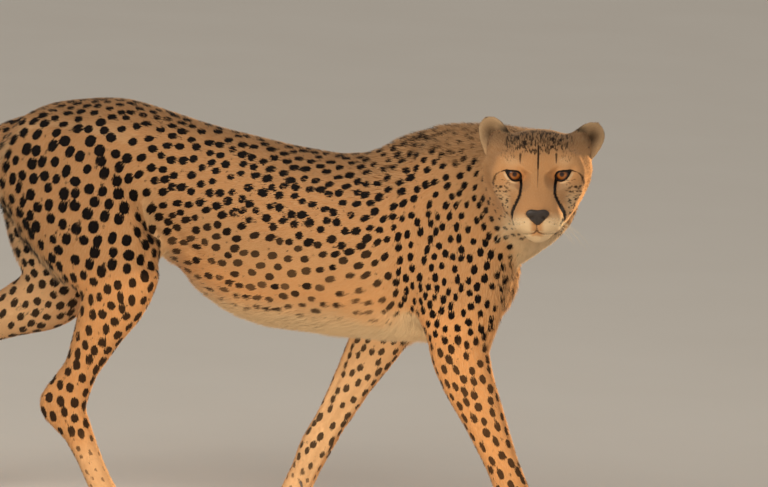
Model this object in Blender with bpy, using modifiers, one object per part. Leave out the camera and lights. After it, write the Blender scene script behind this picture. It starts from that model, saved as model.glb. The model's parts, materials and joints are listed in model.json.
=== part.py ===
"""A walking cheetah with its head turned to its right, as a life-size museum model.

Metres, +Z up, +X towards the chest, +Y to the animal's left. The flesh is shaped once, whole, from named
masses of bone and muscle, and is then parted with thin cuts into the parts that a person would name.
"""

import math

import bmesh
import bpy
import numpy as np
from mathutils import Matrix, Vector

# Driving dimensions, out to the tips of the coat.
HEAD_TURN = math.radians(76)  # how far the face is turned to the right of the way the body points
HEAD_PITCH = math.radians(5)
HEAD_ROLL = math.radians(3.2)
MID_EYES = Vector((0.4435, -0.190, 0.6085))
EYE_SPACING = 0.0680
EYE_RADIUS = 0.0155
EYE_OPENING = (0.0235, 0.0150)
EYE_AHEAD = -0.0100
EYE_DROP = 0.0030
EARS = {-1: (0.45, 0.0605), 1: (0.80, 0.0580)}  # how far each ear leans out for its height, and its length
CUT = 0.0003  # the gap that each cut leaves
VOXEL = 0.0042  # the grain of the shaped flesh
HEAD_TRIANGLES = 13000  # density for the head, as if for the whole body
PAW_TRIANGLES = 7200
BODY_TRIANGLES = 2300
SOLE = 0.0025  # how deep each paw is pressed flat against the floor

# The leg joints in the stride. The right legs reach forward and the left legs push off behind.
LEGS = {
    "front_right": {
        "blade": (0.272, -0.050, 0.590),
        "shoulder": (0.330, -0.066, 0.462),
        "bend": (0.304, -0.078, 0.335),
        "ankle": (0.406, -0.080, 0.126),
        "knuckle": (0.434, -0.078, 0.047),
    },
    "front_left": {
        "blade": (0.250, 0.050, 0.590),
        "shoulder": (0.290, 0.066, 0.470),
        "bend": (0.165, 0.078, 0.340),
        "ankle": (0.062, 0.076, 0.134),
        "knuckle": (0.028, 0.074, 0.047),
    },
    "hind_right": {
        "hip": (-0.314, -0.056, 0.548),
        "bend": (-0.176, -0.088, 0.390),
        "ankle": (-0.268, -0.082, 0.186),
        "knuckle": (-0.196, -0.080, 0.047),
    },
    "hind_left": {
        "hip": (-0.322, 0.056, 0.548),
        "bend": (-0.322, 0.088, 0.328),
        "ankle": (-0.535, 0.084, 0.214),
        "knuckle": (-0.562, 0.082, 0.062),
    },
}
HEEL_BACK = 0.046  # from the middle of the hock to the point of the heel
TOE_SIDES = (-0.0232, -0.0082, 0.0082, 0.0232)
TOE_REACH = (0.038, 0.050, 0.050, 0.038)
TOE_RADIUS = 0.0118
CLAW_LENGTH = 0.017
CLAW_RADIUS = 0.0030

FUR = ("fur", (0.62, 0.40, 0.22, 1.0), 0.85)
EYE = ("eye", (0.42, 0.17, 0.03, 1.0), 0.10)
NOSE = ("nose_leather", (0.03, 0.03, 0.035, 1.0), 0.45)
CLAW = ("claw", (0.12, 0.10, 0.08, 1.0), 0.35)


def clear_scene():
    for obj in list(bpy.data.objects):
        bpy.data.objects.remove(obj)


def collection(name, shown=True):
    made = bpy.data.collections.new(name)
    made.hide_render = not shown
    bpy.context.scene.collection.children.link(made)
    return made


def material(name, colour, roughness):
    made = bpy.data.materials.get(name) or bpy.data.materials.new(name)
    made.use_nodes = True
    shader = made.node_tree.nodes["Principled BSDF"]
    shader.inputs["Base Color"].default_value = colour
    shader.inputs["Roughness"].default_value = roughness
    return made


# ---- curves and frames ----


def through(keys, steps=4):
    """Rows of numbers on a smooth curve through the key rows (Catmull-Rom), steps to each stretch."""
    keys = np.array(keys, float)
    padded = np.vstack([2 * keys[0] - keys[1], keys, 2 * keys[-1] - keys[-2]])
    rows = []
    for a, b, c, d in zip(padded, padded[1:], padded[2:], padded[3:], strict=False):
        for t in np.arange(steps) / steps:
            rows.append(
                0.5 * (2 * b + (c - a) * t + (2 * a - 5 * b + 4 * c - d) * t**2 + (3 * b - a - 3 * c + d) * t**3)
            )
    return np.array(rows + [keys[-1]])


def head_frame():
    """Columns forwards, left and up of the head, at the point midway between the eyes."""
    turn = Matrix.Rotation(-HEAD_TURN, 4, "Z")
    pitch = Matrix.Rotation(-HEAD_PITCH, 4, "Y")
    roll = Matrix.Rotation(HEAD_ROLL, 4, "X")
    return Matrix.Translation(MID_EYES) @ turn @ pitch @ roll


HEAD = head_frame()


# ---- shaping masses ----


def loft(flesh, rings):
    """Adds a closed solid through rings of points to the mesh being shaped."""
    loops = [[flesh.verts.new(p) for p in ring] for ring in rings]
    for near, far in zip(loops, loops[1:], strict=False):
        for i, corner in enumerate(near):
            following = (i + 1) % len(near)
            flesh.faces.new((corner, near[following], far[following], far[i]))
    flesh.faces.new(loops[0][::-1])
    flesh.faces.new(loops[-1])


def oval(centre, side, up, half_width, half_up, half_down, corners=20, pinch=0.0):
    """A ring of points, half_width to each side, with its own height above and depth below the centre.
    The pinch narrows it towards the bottom."""
    ring = []
    for i in range(corners):
        angle = 2 * math.pi * i / corners
        high = math.sin(angle)
        rise = high * (half_up if high > 0 else half_down)
        across = math.cos(angle) * half_width * (1 + pinch * min(high, 0))
        ring.append(centre + side * across + up * rise)
    return ring


def limb(flesh, keys, side=Vector((0, 1, 0))):
    """A limb through key rows x, y, z, half depth fore and aft, half width from side to side."""
    rows = through(keys)
    centres = [Vector(row[:3]) for row in rows]
    rings = []
    for i, (row, centre) in enumerate(zip(rows, centres, strict=True)):
        along = (centres[min(i + 1, len(rows) - 1)] - centres[max(i - 1, 0)]).normalized()
        across = (side - along * side.dot(along)).normalized()
        fore = along.cross(across)
        rings.append(oval(centre, across, fore, row[4], row[3], row[3]))
    loft(flesh, rings)


def mass(flesh, centre, radii, frame=None, pitch=0.0, turn=0.0):
    """An ellipsoid of muscle or fat, tilted by pitch about Y and turned about Z, in the frame given."""
    place = Matrix.Translation(Vector(centre)) @ Matrix.Rotation(turn, 4, "Z") @ Matrix.Rotation(pitch, 4, "Y")
    place = (frame or Matrix.Identity(4)) @ place @ Matrix.Diagonal((*radii, 1.0))
    bmesh.ops.create_icosphere(flesh, subdivisions=4, radius=1.0, matrix=place)


def shape_trunk(flesh):
    # x, height of the back, height of the belly, half width, height of the widest level
    stations = [
        (-0.402, 0.566, 0.476, 0.036, 0.522),
        (-0.370, 0.590, 0.446, 0.066, 0.525),
        (-0.300, 0.621, 0.425, 0.086, 0.535),
        (-0.235, 0.632, 0.430, 0.084, 0.545),
        (-0.160, 0.619, 0.425, 0.074, 0.535),
        (-0.100, 0.606, 0.360, 0.071, 0.495),
        (-0.020, 0.594, 0.323, 0.082, 0.460),
        (0.070, 0.582, 0.318, 0.093, 0.450),
        (0.140, 0.585, 0.319, 0.098, 0.440),
        (0.210, 0.605, 0.320, 0.095, 0.450),
        (0.275, 0.629, 0.330, 0.084, 0.460),
        (0.325, 0.612, 0.350, 0.070, 0.470),
        (0.366, 0.545, 0.385, 0.046, 0.450),
    ]
    side, up = Vector((0, 1, 0)), Vector((0, 0, 1))
    rings = []
    for x, back, belly, half, level in through(stations):
        rings.append(oval(Vector((x, 0, level)), side, up, half, back - level, level - belly, 28))
    loft(flesh, rings)
    mass(flesh, (0.325, 0, 0.415), (0.046, 0.052, 0.066))  # breastbone and its fur
    mass(flesh, (-0.040, 0, 0.566), (0.200, 0.046, 0.026), pitch=0.115)  # loin
    mass(flesh, (-0.270, 0, 0.585), (0.110, 0.058, 0.042), pitch=-0.03)  # croup
    mass(flesh, (-0.130, 0, 0.432), (0.080, 0.052, 0.034), pitch=0.55)  # flank fold


def shape_neck(flesh):
    limb(
        flesh,
        [
            (0.215, 0.000, 0.500, 0.118, 0.074),
            (0.290, -0.003, 0.525, 0.118, 0.078),
            (0.345, -0.020, 0.545, 0.104, 0.076),
            (0.390, -0.052, 0.562, 0.089, 0.072),
            (0.412, -0.092, 0.576, 0.078, 0.067),
            (0.424, -0.130, 0.584, 0.066, 0.058),
        ],
        side=Vector((0.35, 0.94, 0)),
    )
    limb(
        flesh,
        [
            (0.150, 0.000, 0.562, 0.026, 0.030),
            (0.225, 0.000, 0.590, 0.034, 0.034),
            (0.300, -0.004, 0.606, 0.037, 0.036),
            (0.355, -0.024, 0.607, 0.038, 0.038),
            (0.392, -0.056, 0.606, 0.036, 0.036),
            (0.412, -0.090, 0.606, 0.034, 0.034),
        ],
        side=Vector((0.35, 0.94, 0)),
    )  # the mantle
    mass(flesh, (0.382, -0.052, 0.505), (0.042, 0.046, 0.052), turn=-0.9, pitch=0.4)  # throat


def shape_front_leg(flesh, leg):
    blade, shoulder, elbow, wrist, knuckle = (
        Vector(leg[key]) for key in ("blade", "shoulder", "bend", "ankle", "knuckle")
    )
    limb(
        flesh,
        [
            (*(blade + Vector((0, 0, 0.030))), 0.020, 0.014),
            (*blade, 0.052, 0.026),
            (*blade.lerp(shoulder, 0.5), 0.064, 0.034),
            (*shoulder, 0.056, 0.038),
            (*(shoulder.lerp(elbow, 0.55) + Vector((0.006, 0, 0))), 0.054, 0.038),
            (*elbow, 0.050, 0.033),
        ],
    )
    # The triceps fills the corner behind the upper arm.
    corner = blade.lerp(elbow, 0.60) + Vector((-0.010, 0, 0))
    limb(
        flesh,
        [
            (*blade.lerp(elbow, 0.20), 0.040, 0.024),
            (*corner, 0.052, 0.034),
            (*(elbow + Vector((-0.012, 0, 0.014))), 0.036, 0.027),
        ],
    )
    limb(
        flesh,
        [
            (*(elbow + Vector((0, 0, 0.030))), 0.046, 0.032),
            (*elbow.lerp(wrist, 0.14), 0.044, 0.031),
            (*elbow.lerp(wrist, 0.45), 0.034, 0.026),
            (*elbow.lerp(wrist, 0.80), 0.0265, 0.0215),
            (*wrist, 0.0265, 0.0240),
            (*wrist.lerp(knuckle, 0.40), 0.0225, 0.0232),
            (*knuckle, 0.0225, 0.0262),
            (*(knuckle + Vector((0.006, 0, -0.020))), 0.0200, 0.0240),
        ],
    )


def shape_hind_leg(flesh, leg):
    hip, knee, hock, knuckle = (Vector(leg[key]) for key in ("hip", "bend", "ankle", "knuckle"))
    down = (knee - hip).normalized()
    aft = Vector((down.z, 0, -down.x))
    limb(
        flesh,
        [
            (hip.x + 0.010, hip.y * 0.60, hip.z + 0.055, 0.050, 0.020),
            (hip.x + 0.006, hip.y * 0.90, hip.z + 0.018, 0.084, 0.036),
            (*(hip.lerp(knee, 0.20) + aft * 0.008), 0.098, 0.044),
            (*(hip.lerp(knee, 0.50) + aft * 0.018), 0.094, 0.046),
            (*(hip.lerp(knee, 0.80) + aft * 0.012), 0.074, 0.042),
            (*knee, 0.052, 0.036),
        ],
    )
    mass(flesh, (hip.x - 0.036, hip.y * 0.85, hip.z - 0.030), (0.060, 0.040, 0.074), pitch=0.25)  # buttock
    mass(flesh, (knee.x - 0.004, knee.y * 0.80, knee.z + 0.030), (0.041, 0.032, 0.035))  # the skin before the knee
    shin = (hock - knee).normalized()
    calf = Vector((shin.z, 0, -shin.x))
    limb(
        flesh,
        [
            (*(knee + Vector((0, 0, 0.022))), 0.050, 0.035),
            (*(knee.lerp(hock, 0.16) + calf * 0.006), 0.051, 0.035),
            (*(knee.lerp(hock, 0.40) + calf * 0.008), 0.041, 0.029),
            (*(knee.lerp(hock, 0.72) + calf * 0.006), 0.028, 0.0215),
            (*hock, 0.027, 0.0215),
        ],
    )
    foot = (knuckle - hock).normalized()
    back = Vector((foot.z, 0, -foot.x))
    heel = hock - foot * 0.016 + back * (HEEL_BACK * 0.74)
    tendon = knee.lerp(hock, 0.72) + calf * 0.018
    limb(flesh, [(*knee.lerp(hock, 0.45), 0.026, 0.018), (*tendon, 0.017, 0.013), (*heel, 0.0160, 0.0145)])
    limb(flesh, [(*heel, 0.0155, 0.0145), (*(hock.lerp(knuckle, 0.20) + back * 0.014), 0.0150, 0.0150)])
    mass(flesh, hock.lerp(heel, 0.45), (0.022, 0.015, 0.024))  # fills the bend of the hock
    limb(
        flesh,
        [
            (*hock.lerp(knuckle, -0.08), 0.0270, 0.0210),
            (*hock.lerp(knuckle, 0.15), 0.0265, 0.0205),
            (*hock.lerp(knuckle, 0.40), 0.0215, 0.0190),
            (*hock.lerp(knuckle, 0.75), 0.0195, 0.0195),
            (*knuckle, 0.0215, 0.0250),
            (*(knuckle + Vector((0.006, 0, -0.020))), 0.0200, 0.0235),
        ],
    )


def toe_places(leg):
    """The start, bend and tip of each toe of a paw."""
    knuckle = Vector(leg["knuckle"])
    for side, reach in zip(TOE_SIDES, TOE_REACH, strict=True):
        start = knuckle + Vector((0.000, side * 0.55, -0.006))
        bend = Vector((knuckle.x + 0.52 * reach, knuckle.y + side * 0.95, 0.40 * knuckle.z + 0.0135))
        tip = Vector((knuckle.x + reach, knuckle.y + side * 1.05, TOE_RADIUS - SOLE))
        yield start, bend, tip


def shape_paw(flesh, leg):
    knuckle = Vector(leg["knuckle"])
    for start, bend, tip in toe_places(leg):
        limb(
            flesh,
            [
                (*start, TOE_RADIUS * 1.15, TOE_RADIUS),
                (*bend, TOE_RADIUS * 1.12, TOE_RADIUS),
                (*tip.lerp(bend, 0.22), TOE_RADIUS * 1.02, TOE_RADIUS),
            ],
        )
        mass(flesh, tip, (TOE_RADIUS * 1.12, TOE_RADIUS * 0.92, TOE_RADIUS))
    mass(flesh, (knuckle.x + 0.006, knuckle.y, 0.014 - SOLE), (0.024, 0.0245, 0.0150))  # pad
    middle = 0.5 * knuckle.z
    mass(flesh, (knuckle.x + 0.003, knuckle.y, middle), (0.0205, 0.0235, middle))


def shape_tail(flesh):
    limb(
        flesh,
        [
            (-0.350, 0.000, 0.562, 0.040, 0.038),
            (-0.405, 0.000, 0.545, 0.036, 0.033),
            (-0.452, -0.002, 0.506, 0.029, 0.027),
            (-0.508, -0.006, 0.436, 0.0250, 0.0240),
            (-0.568, -0.010, 0.348, 0.0235, 0.0225),
            (-0.640, -0.012, 0.266, 0.0235, 0.0225),
            (-0.730, -0.008, 0.208, 0.0250, 0.0240),
            (-0.830, 0.000, 0.190, 0.0275, 0.0265),
            (-0.910, 0.008, 0.204, 0.0265, 0.0255),
            (-0.966, 0.014, 0.228, 0.0150, 0.0150),
        ],
    )


def shape_head(flesh):
    # forwards, half width, top, widest level, underside, pinch, all from the middle of the eyes
    stations = [
        (-0.128, 0.036, 0.034, 0.000, -0.040, 0.00),
        (-0.105, 0.056, 0.052, -0.002, -0.072, 0.05),
        (-0.075, 0.070, 0.056, 0.000, -0.088, 0.14),
        (-0.045, 0.0750, 0.057, 0.002, -0.093, 0.24),
        (-0.022, 0.070, 0.049, -0.004, -0.093, 0.28),
        (-0.004, 0.054, 0.031, -0.016, -0.092, 0.26),
        (0.012, 0.040, 0.009, -0.032, -0.092, 0.15),
        (0.028, 0.034, -0.012, -0.050, -0.094, 0.12),
        (0.044, 0.031, -0.029, -0.060, -0.094, 0.25),
        (0.056, 0.025, -0.040, -0.063, -0.089, 0.30),
        (0.064, 0.015, -0.048, -0.064, -0.080, 0.20),
    ]
    left, up = (HEAD.to_3x3() @ Vector(axis) for axis in ((0, 1, 0), (0, 0, 1)))
    rings = []
    for ahead, half, top, level, under, pinch in through(stations):
        centre = HEAD @ Vector((ahead, 0, level))
        rings.append(oval(centre, left, up, half, top - level, level - under, 28, pinch))
    loft(flesh, rings)
    mass(flesh, (0.022, 0, -0.030), (0.042, 0.0185, 0.0135), HEAD, pitch=0.72)  # bridge of the nose
    mass(flesh, (0.030, 0, -0.0840), (0.024, 0.019, 0.0125), HEAD)  # chin
    for y in (-1, 1):
        mass(flesh, (-0.018, y * 0.037, -0.024), (0.027, 0.027, 0.019), HEAD, turn=-y * 0.4)  # cheekbone
        mass(flesh, (0.0375, y * 0.0175, -0.066), (0.0245, 0.0195, 0.0175), HEAD)  # whisker pad
        mass(flesh, (-0.015, y * 0.036, 0.0180), (0.019, 0.026, 0.0120), HEAD, turn=-y * 0.35)  # brow
        mass(flesh, (-0.019, y * 0.055, -0.003), (0.022, 0.012, 0.020), HEAD)  # outer corner of the eye
        mass(flesh, (-0.012, y * 0.034, 0.000), (0.018, 0.020, 0.014), HEAD)  # closed lids, opened later
        mass(flesh, (-0.054, y * 0.053, 0.033), (0.024, 0.019, 0.022), HEAD)  # root of the ear


def mesh_of(bm, name, place=None):
    mesh = bpy.data.meshes.new(name)
    bm.to_mesh(mesh)
    bm.free()
    if place:
        mesh.transform(place)
    obj = bpy.data.objects.new(name, mesh)
    return obj


def evaluated(obj):
    """A plain mesh of the object with its modifiers in effect."""
    bpy.context.view_layer.update()
    graph = bpy.context.evaluated_depsgraph_get()
    return bpy.data.meshes.new_from_object(obj.evaluated_get(graph), depsgraph=graph)


def settle(obj):
    """Puts the object's modifiers into its mesh."""
    mesh = evaluated(obj)
    obj.modifiers.clear()
    obj.data = mesh
    return obj


def shape_flesh(helpers):
    """All the masses as one skin, with the hollows between them filled softly and the soles flat."""
    flesh = bmesh.new()
    shape_trunk(flesh)
    shape_neck(flesh)
    shape_tail(flesh)
    shape_head(flesh)
    for name, leg in LEGS.items():
        (shape_front_leg if name.startswith("front") else shape_hind_leg)(flesh, leg)
        shape_paw(flesh, leg)
    bmesh.ops.recalc_face_normals(flesh, faces=flesh.faces)
    whole = mesh_of(flesh, "flesh")
    helpers.objects.link(whole)
    remesh = whole.modifiers.new("fuse", "REMESH")
    remesh.mode = "VOXEL"
    remesh.voxel_size = VOXEL
    smooth = whole.modifiers.new("soften", "SMOOTH")
    smooth.factor = 0.5
    smooth.iterations = 9
    return settle(whole)


def thinned(whole, name, triangles, helpers):
    """A copy of the whole flesh with about this many triangles."""
    copy = bpy.data.objects.new(name, whole.data.copy())
    helpers.objects.link(copy)
    full = sum(len(p.vertices) - 2 for p in copy.data.polygons)
    decimate = copy.modifiers.new("thin", "DECIMATE")
    decimate.ratio = triangles / full
    settle(copy)
    flat = bmesh.new()
    flat.from_mesh(copy.data)
    bmesh.ops.bisect_plane(
        flat, geom=[*flat.verts, *flat.edges, *flat.faces], plane_co=(0, 0, 0), plane_no=(0, 0, 1), clear_inner=True
    )
    bmesh.ops.holes_fill(flat, edges=[e for e in flat.edges if e.is_boundary], sides=0)
    bmesh.ops.triangulate(flat, faces=flat.faces)
    bmesh.ops.recalc_face_normals(flat, faces=flat.faces)
    flat.to_mesh(copy.data)
    flat.free()
    return copy


# ---- parting ----


def boolean(obj, cutter, operation):
    modifier = obj.modifiers.new(operation, "BOOLEAN")
    modifier.operation = operation
    modifier.object = cutter
    modifier.solver = "EXACT"
    return settle(obj)


def grown(obj, by):
    """The object's mesh pushed out along its normals, as a cutter that leaves a gap."""
    copy = bpy.data.objects.new(obj.name + "_grown", obj.data.copy())
    HELPERS.objects.link(copy)
    push = copy.modifiers.new("grow", "DISPLACE")
    push.strength = by
    push.mid_level = 0.0
    return settle(copy)


def box_cutter(name, place, low, high):
    """A box from low to high in the frame given."""
    bm = bmesh.new()
    size = Vector(high) - Vector(low)
    middle = (Vector(high) + Vector(low)) / 2
    bmesh.ops.create_cube(bm, size=1.0, matrix=place @ Matrix.Translation(middle) @ Matrix.Diagonal((*size, 1.0)))
    bmesh.ops.recalc_face_normals(bm, faces=bm.faces)
    cutter = mesh_of(bm, name)
    cutter.hide_render = True
    cutter.display_type = "WIRE"
    HELPERS.objects.link(cutter)
    return cutter


def leg_cutter(name, side, rows, fold, inner, lean, inset=0.0):
    """A block round one leg, through rows of height, rear and front. Its inner wall stands upright at inner up
    to the fold of the groin or armpit, and leans out from there. The inset makes it smaller all round."""
    bm = bmesh.new()
    outline = [(rear + inset, z) for z, rear, front in rows] + [(front - inset, z) for z, rear, front in rows[::-1]]
    outline = [(x, z - inset if z == rows[-1][0] else z) for x, z in outline]
    near, far = [], []
    for x, z in outline:
        wall = inner + max(z - fold, 0) * lean + inset
        near.append(bm.verts.new((x, side * wall, z)))
        far.append(bm.verts.new((x, side * 0.30, z)))
    count = len(rows)
    for ring in (near, far):
        for low in range(count - 1):
            bm.faces.new((ring[low], ring[low + 1], ring[-low - 2], ring[-low - 1]))
    for i in range(2 * count):
        j = (i + 1) % (2 * count)
        bm.faces.new((near[i], near[j], far[j], far[i]))
    bmesh.ops.recalc_face_normals(bm, faces=bm.faces)
    cutter = mesh_of(bm, name)
    cutter.hide_render = True
    cutter.display_type = "WIRE"
    HELPERS.objects.link(cutter)
    return cutter


def copy_of(obj, name):
    copy = bpy.data.objects.new(name, obj.data.copy())
    HELPERS.objects.link(copy)
    return copy


def sliced(obj, name, point, direction, gap=CUT):
    """Cuts obj by a plane. What lies beyond the plane, along direction, is the new part; obj keeps the rest."""
    direction = Vector(direction).normalized()
    beyond = copy_of(obj, name)
    for part, offset, sign in ((beyond, gap / 2, 1), (obj, -gap / 2, -1)):
        bm = bmesh.new()
        bm.from_mesh(part.data)
        bmesh.ops.bisect_plane(
            bm,
            geom=[*bm.verts, *bm.edges, *bm.faces],
            dist=1e-7,
            plane_co=Vector(point) + direction * offset,
            plane_no=direction,
            clear_inner=sign > 0,
            clear_outer=sign < 0,
        )
        bmesh.ops.holes_fill(bm, edges=[e for e in bm.edges if e.is_boundary], sides=0)
        bmesh.ops.triangulate(bm, faces=bm.faces)
        bmesh.ops.recalc_face_normals(bm, faces=bm.faces)
        bm.to_mesh(part.data)
        bm.free()
    return beyond


# ---- what is set into the flesh ----


def ear_solid(name, side):
    """A rounded cupped shell that faces forwards and out, with its root inside the head."""
    root = Vector((-0.050, side * 0.050, 0.020))
    rise = Vector((-0.12, side * EARS[side][0], 0.90)).normalized()
    face = Vector((0.93, side * 0.36, 0.02))
    face = (face - rise * face.dot(rise)).normalized()
    across = rise.cross(face).normalized()
    length, half_width, depth, rows, columns = EARS[side][1], 0.0210, 0.018, 7, 8
    bm = bmesh.new()
    grid = []
    for r in range(rows + 1):
        v = math.sin(0.5 * math.pi * r / rows)
        half = half_width * max(1 - v**4.4, 0.0) ** 0.5 + 0.0020
        line = []
        for c in range(columns + 1):
            u = 2 * c / columns - 1
            back = depth * (1 - u**2) * (1 - 0.95 * v**1.5)
            line.append(bm.verts.new(root + rise * (length * v) + across * (half * u) - face * back))
        grid.append(line)
    for low, high in zip(grid, grid[1:], strict=False):
        for c in range(columns):
            bm.faces.new((low[c], low[c + 1], high[c + 1], high[c]))
    ear = mesh_of(bm, name, HEAD)
    wall = ear.modifiers.new("wall", "SOLIDIFY")
    wall.thickness = 0.0055
    wall.offset = 0.0
    HELPERS.objects.link(ear)
    settle(ear)
    bm = bmesh.new()
    bm.from_mesh(ear.data)
    bmesh.ops.recalc_face_normals(bm, faces=bm.faces)
    bmesh.ops.triangulate(bm, faces=bm.faces)
    bm.to_mesh(ear.data)
    bm.free()
    return ear


def eye_place(side):
    return HEAD @ Vector((EYE_AHEAD, side * EYE_SPACING / 2, -EYE_DROP))


def lid_opening(name, side):
    """An almond that widens forwards, with its inner corner a little low. It opens the lids in front of an eye."""
    rings = []
    for ahead, grow in ((-0.006, 0.90), (0.004, 1.00), (0.030, 1.35)):
        ring = []
        for i in range(14):
            angle = 2 * math.pi * i / 14
            across = math.cos(angle) * EYE_OPENING[0] / 2 * grow
            rise = math.sin(angle) * abs(math.sin(angle)) ** 0.3 * EYE_OPENING[1] / 2 * grow + 0.10 * across - EYE_DROP
            ring.append(HEAD @ Vector((EYE_AHEAD + ahead + 0.010, side * (EYE_SPACING / 2 + 0.0008 + across), rise)))
        rings.append(ring)
    bm = bmesh.new()
    loft(bm, rings)
    bmesh.ops.triangulate(bm, faces=bm.faces)
    bmesh.ops.recalc_face_normals(bm, faces=bm.faces)
    cutter = mesh_of(bm, name)
    cutter.hide_render = True
    cutter.display_type = "WIRE"
    HELPERS.objects.link(cutter)
    return cutter


def ball(name, centre, radius, subdivisions=3):
    bm = bmesh.new()
    bmesh.ops.create_icosphere(bm, subdivisions=subdivisions, radius=radius, matrix=Matrix.Translation(centre))
    obj = mesh_of(bm, name)
    HELPERS.objects.link(obj)
    return obj


def nose_solid(name):
    """The nose leather: wide above, narrow below, rounded all over."""
    bm = bmesh.new()
    bmesh.ops.create_cube(bm, size=2.0)
    for vert in bm.verts:
        wide = 0.0320 if vert.co.z > 0 else 0.0070
        ahead = 0.0165 if vert.co.z > 0 else 0.0135
        vert.co = Vector((vert.co.x * ahead, vert.co.y * wide, vert.co.z * 0.0155))
    nose = mesh_of(bm, name, HEAD @ Matrix.Translation((0.0575, 0, -0.0585)) @ Matrix.Rotation(-0.12, 4, "Y"))
    round_off = nose.modifiers.new("round", "SUBSURF")
    round_off.levels = round_off.render_levels = 2
    HELPERS.objects.link(nose)
    return settle(nose)


def claw_solid(name, tip, aim):
    """A blunt curved cone that starts inside the toe."""
    keys = []
    for share in (0.0, 0.5, 1.0):
        centre = tip + aim * (CLAW_LENGTH * share) + Vector((0, 0, 0.004 * (1 - share**2) - 0.002))
        keys.append((*centre, CLAW_RADIUS * (1 - 0.80 * share), CLAW_RADIUS * 0.75 * (1 - 0.80 * share)))
    bm = bmesh.new()
    rows = through(keys, 1)
    rings = [
        oval(Vector(row[:3]), Vector((0, 1, 0)), aim.cross(Vector((0, 1, 0))).normalized(), row[4], row[3], row[3], 5)
        for row in rows
    ]
    loft(bm, rings)
    bmesh.ops.triangulate(bm, faces=bm.faces)
    bmesh.ops.recalc_face_normals(bm, faces=bm.faces)
    claw = mesh_of(bm, name)
    HELPERS.objects.link(claw)
    return claw


# ---- the animal ----

clear_scene()
SHOWN = collection("cheetah")
HELPERS = collection("helpers", shown=False)
whole = shape_flesh(HELPERS)
head_flesh = thinned(whole, "head_flesh", HEAD_TRIANGLES, HELPERS)
paw_flesh = thinned(whole, "paw_flesh", PAW_TRIANGLES, HELPERS)
body = thinned(whole, "body", BODY_TRIANGLES, HELPERS)

parts = {}

# The head leaves the neck behind the ears and the jaw.
HEAD_BACK, HEAD_BELOW = -0.098, -0.101
head_box = box_cutter("head_box", HEAD, (HEAD_BACK, -0.13, HEAD_BELOW), (0.20, 0.13, 0.20))
head_gap = box_cutter("head_gap", HEAD, (HEAD_BACK - CUT, -0.14, HEAD_BELOW - CUT), (0.21, 0.14, 0.21))
parts["head"] = boolean(head_flesh, head_box, "INTERSECT")
body = boolean(body, head_gap, "DIFFERENCE")

# Each leg leaves the trunk along a wall that leans out to the shoulder or the croup.
FRONT_WALL = {"fold": 0.300, "inner": 0.030, "lean": 0.20}
HIND_WALL = {"fold": 0.400, "inner": 0.022, "lean": 0.24}
LEG_ROWS = {  # height, rear, front
    "front_right": [
        (-0.05, 0.36, 0.56),
        (0.10, 0.33, 0.50),
        (0.30, 0.235, 0.41),
        (0.44, 0.195, 0.40),
        (0.54, 0.195, 0.335),
    ],
    "front_left": [
        (-0.05, -0.08, 0.13),
        (0.15, -0.02, 0.14),
        (0.30, 0.085, 0.225),
        (0.44, 0.135, 0.345),
        (0.54, 0.175, 0.325),
    ],
    "hind_right": [
        (-0.05, -0.33, -0.05),
        (0.18, -0.37, -0.15),
        (0.36, -0.40, -0.126),
        (0.40, -0.43, -0.128),
        (0.50, -0.46, -0.165),
        (0.60, -0.42, -0.21),
    ],
    "hind_left": [
        (-0.05, -0.67, -0.43),
        (0.17, -0.67, -0.39),
        (0.24, -0.65, -0.26),
        (0.36, -0.50, -0.21),
        (0.40, -0.48, -0.195),
        (0.50, -0.46, -0.18),
        (0.60, -0.42, -0.22),
    ],
}
for name, rows in LEG_ROWS.items():
    side = -1 if name.endswith("right") else 1
    leg = LEGS[name]
    front = name.startswith("front")
    upper, lower = ("upper_arm", "forearm") if front else ("thigh", "shank")
    wall = FRONT_WALL if front else HIND_WALL
    inside = leg_cutter(name + "_inside", side, rows, inset=CUT, **wall)
    whole_leg = boolean(copy_of(body, name), inside, "INTERSECT")
    lower_leg = boolean(copy_of(paw_flesh, "whole_" + name), inside, "INTERSECT")
    body = boolean(body, leg_cutter(name + "_round", side, rows, **wall), "DIFFERENCE")
    bend, ankle, knuckle = (Vector(leg[key]) for key in ("bend", "ankle", "knuckle"))
    above = (bend - Vector(leg["shoulder" if front else "hip"])).normalized()
    below = (ankle - bend).normalized()
    foot = (knuckle - ankle).normalized()
    paw_cut = ankle.lerp(knuckle, 0.35)
    sliced(whole_leg, "waste_" + name, paw_cut, foot)
    parts["paw_" + name] = sliced(lower_leg, "paw_" + name, paw_cut, foot)
    parts[lower + "_" + name] = sliced(whole_leg, name, bend, above + below)
    parts[upper + "_" + name] = whole_leg

# The tail leaves the rump, and is parted again at two thirds of its way down.
tail_frame = Matrix.Translation((-0.432, 0, 0.532)) @ Matrix.Rotation(math.radians(128), 4, "Y")
tail = boolean(
    copy_of(body, "tail"), box_cutter("tail_box", tail_frame, (CUT, -0.08, -0.30), (0.8, 0.08, 0.050)), "INTERSECT"
)
body = boolean(body, box_cutter("tail_gap", tail_frame, (0, -0.08 - CUT, -0.30 - CUT), (0.8 + CUT, 0.08 + CUT, 0.050 + CUT)), "DIFFERENCE")
parts["tail_tip"] = sliced(tail, "tail_tip", (-0.725, -0.008, 0.205), (-1, 0, -0.35))
parts["tail_middle"] = sliced(tail, "tail_middle", (-0.535, -0.008, 0.392), (-0.55, 0, -0.84))
parts["tail_root"] = tail

parts["neck"] = sliced(body, "neck", (0.312, 0, 0.540), (0.80, -0.25, 0.52))
parts["trunk"] = body

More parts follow.
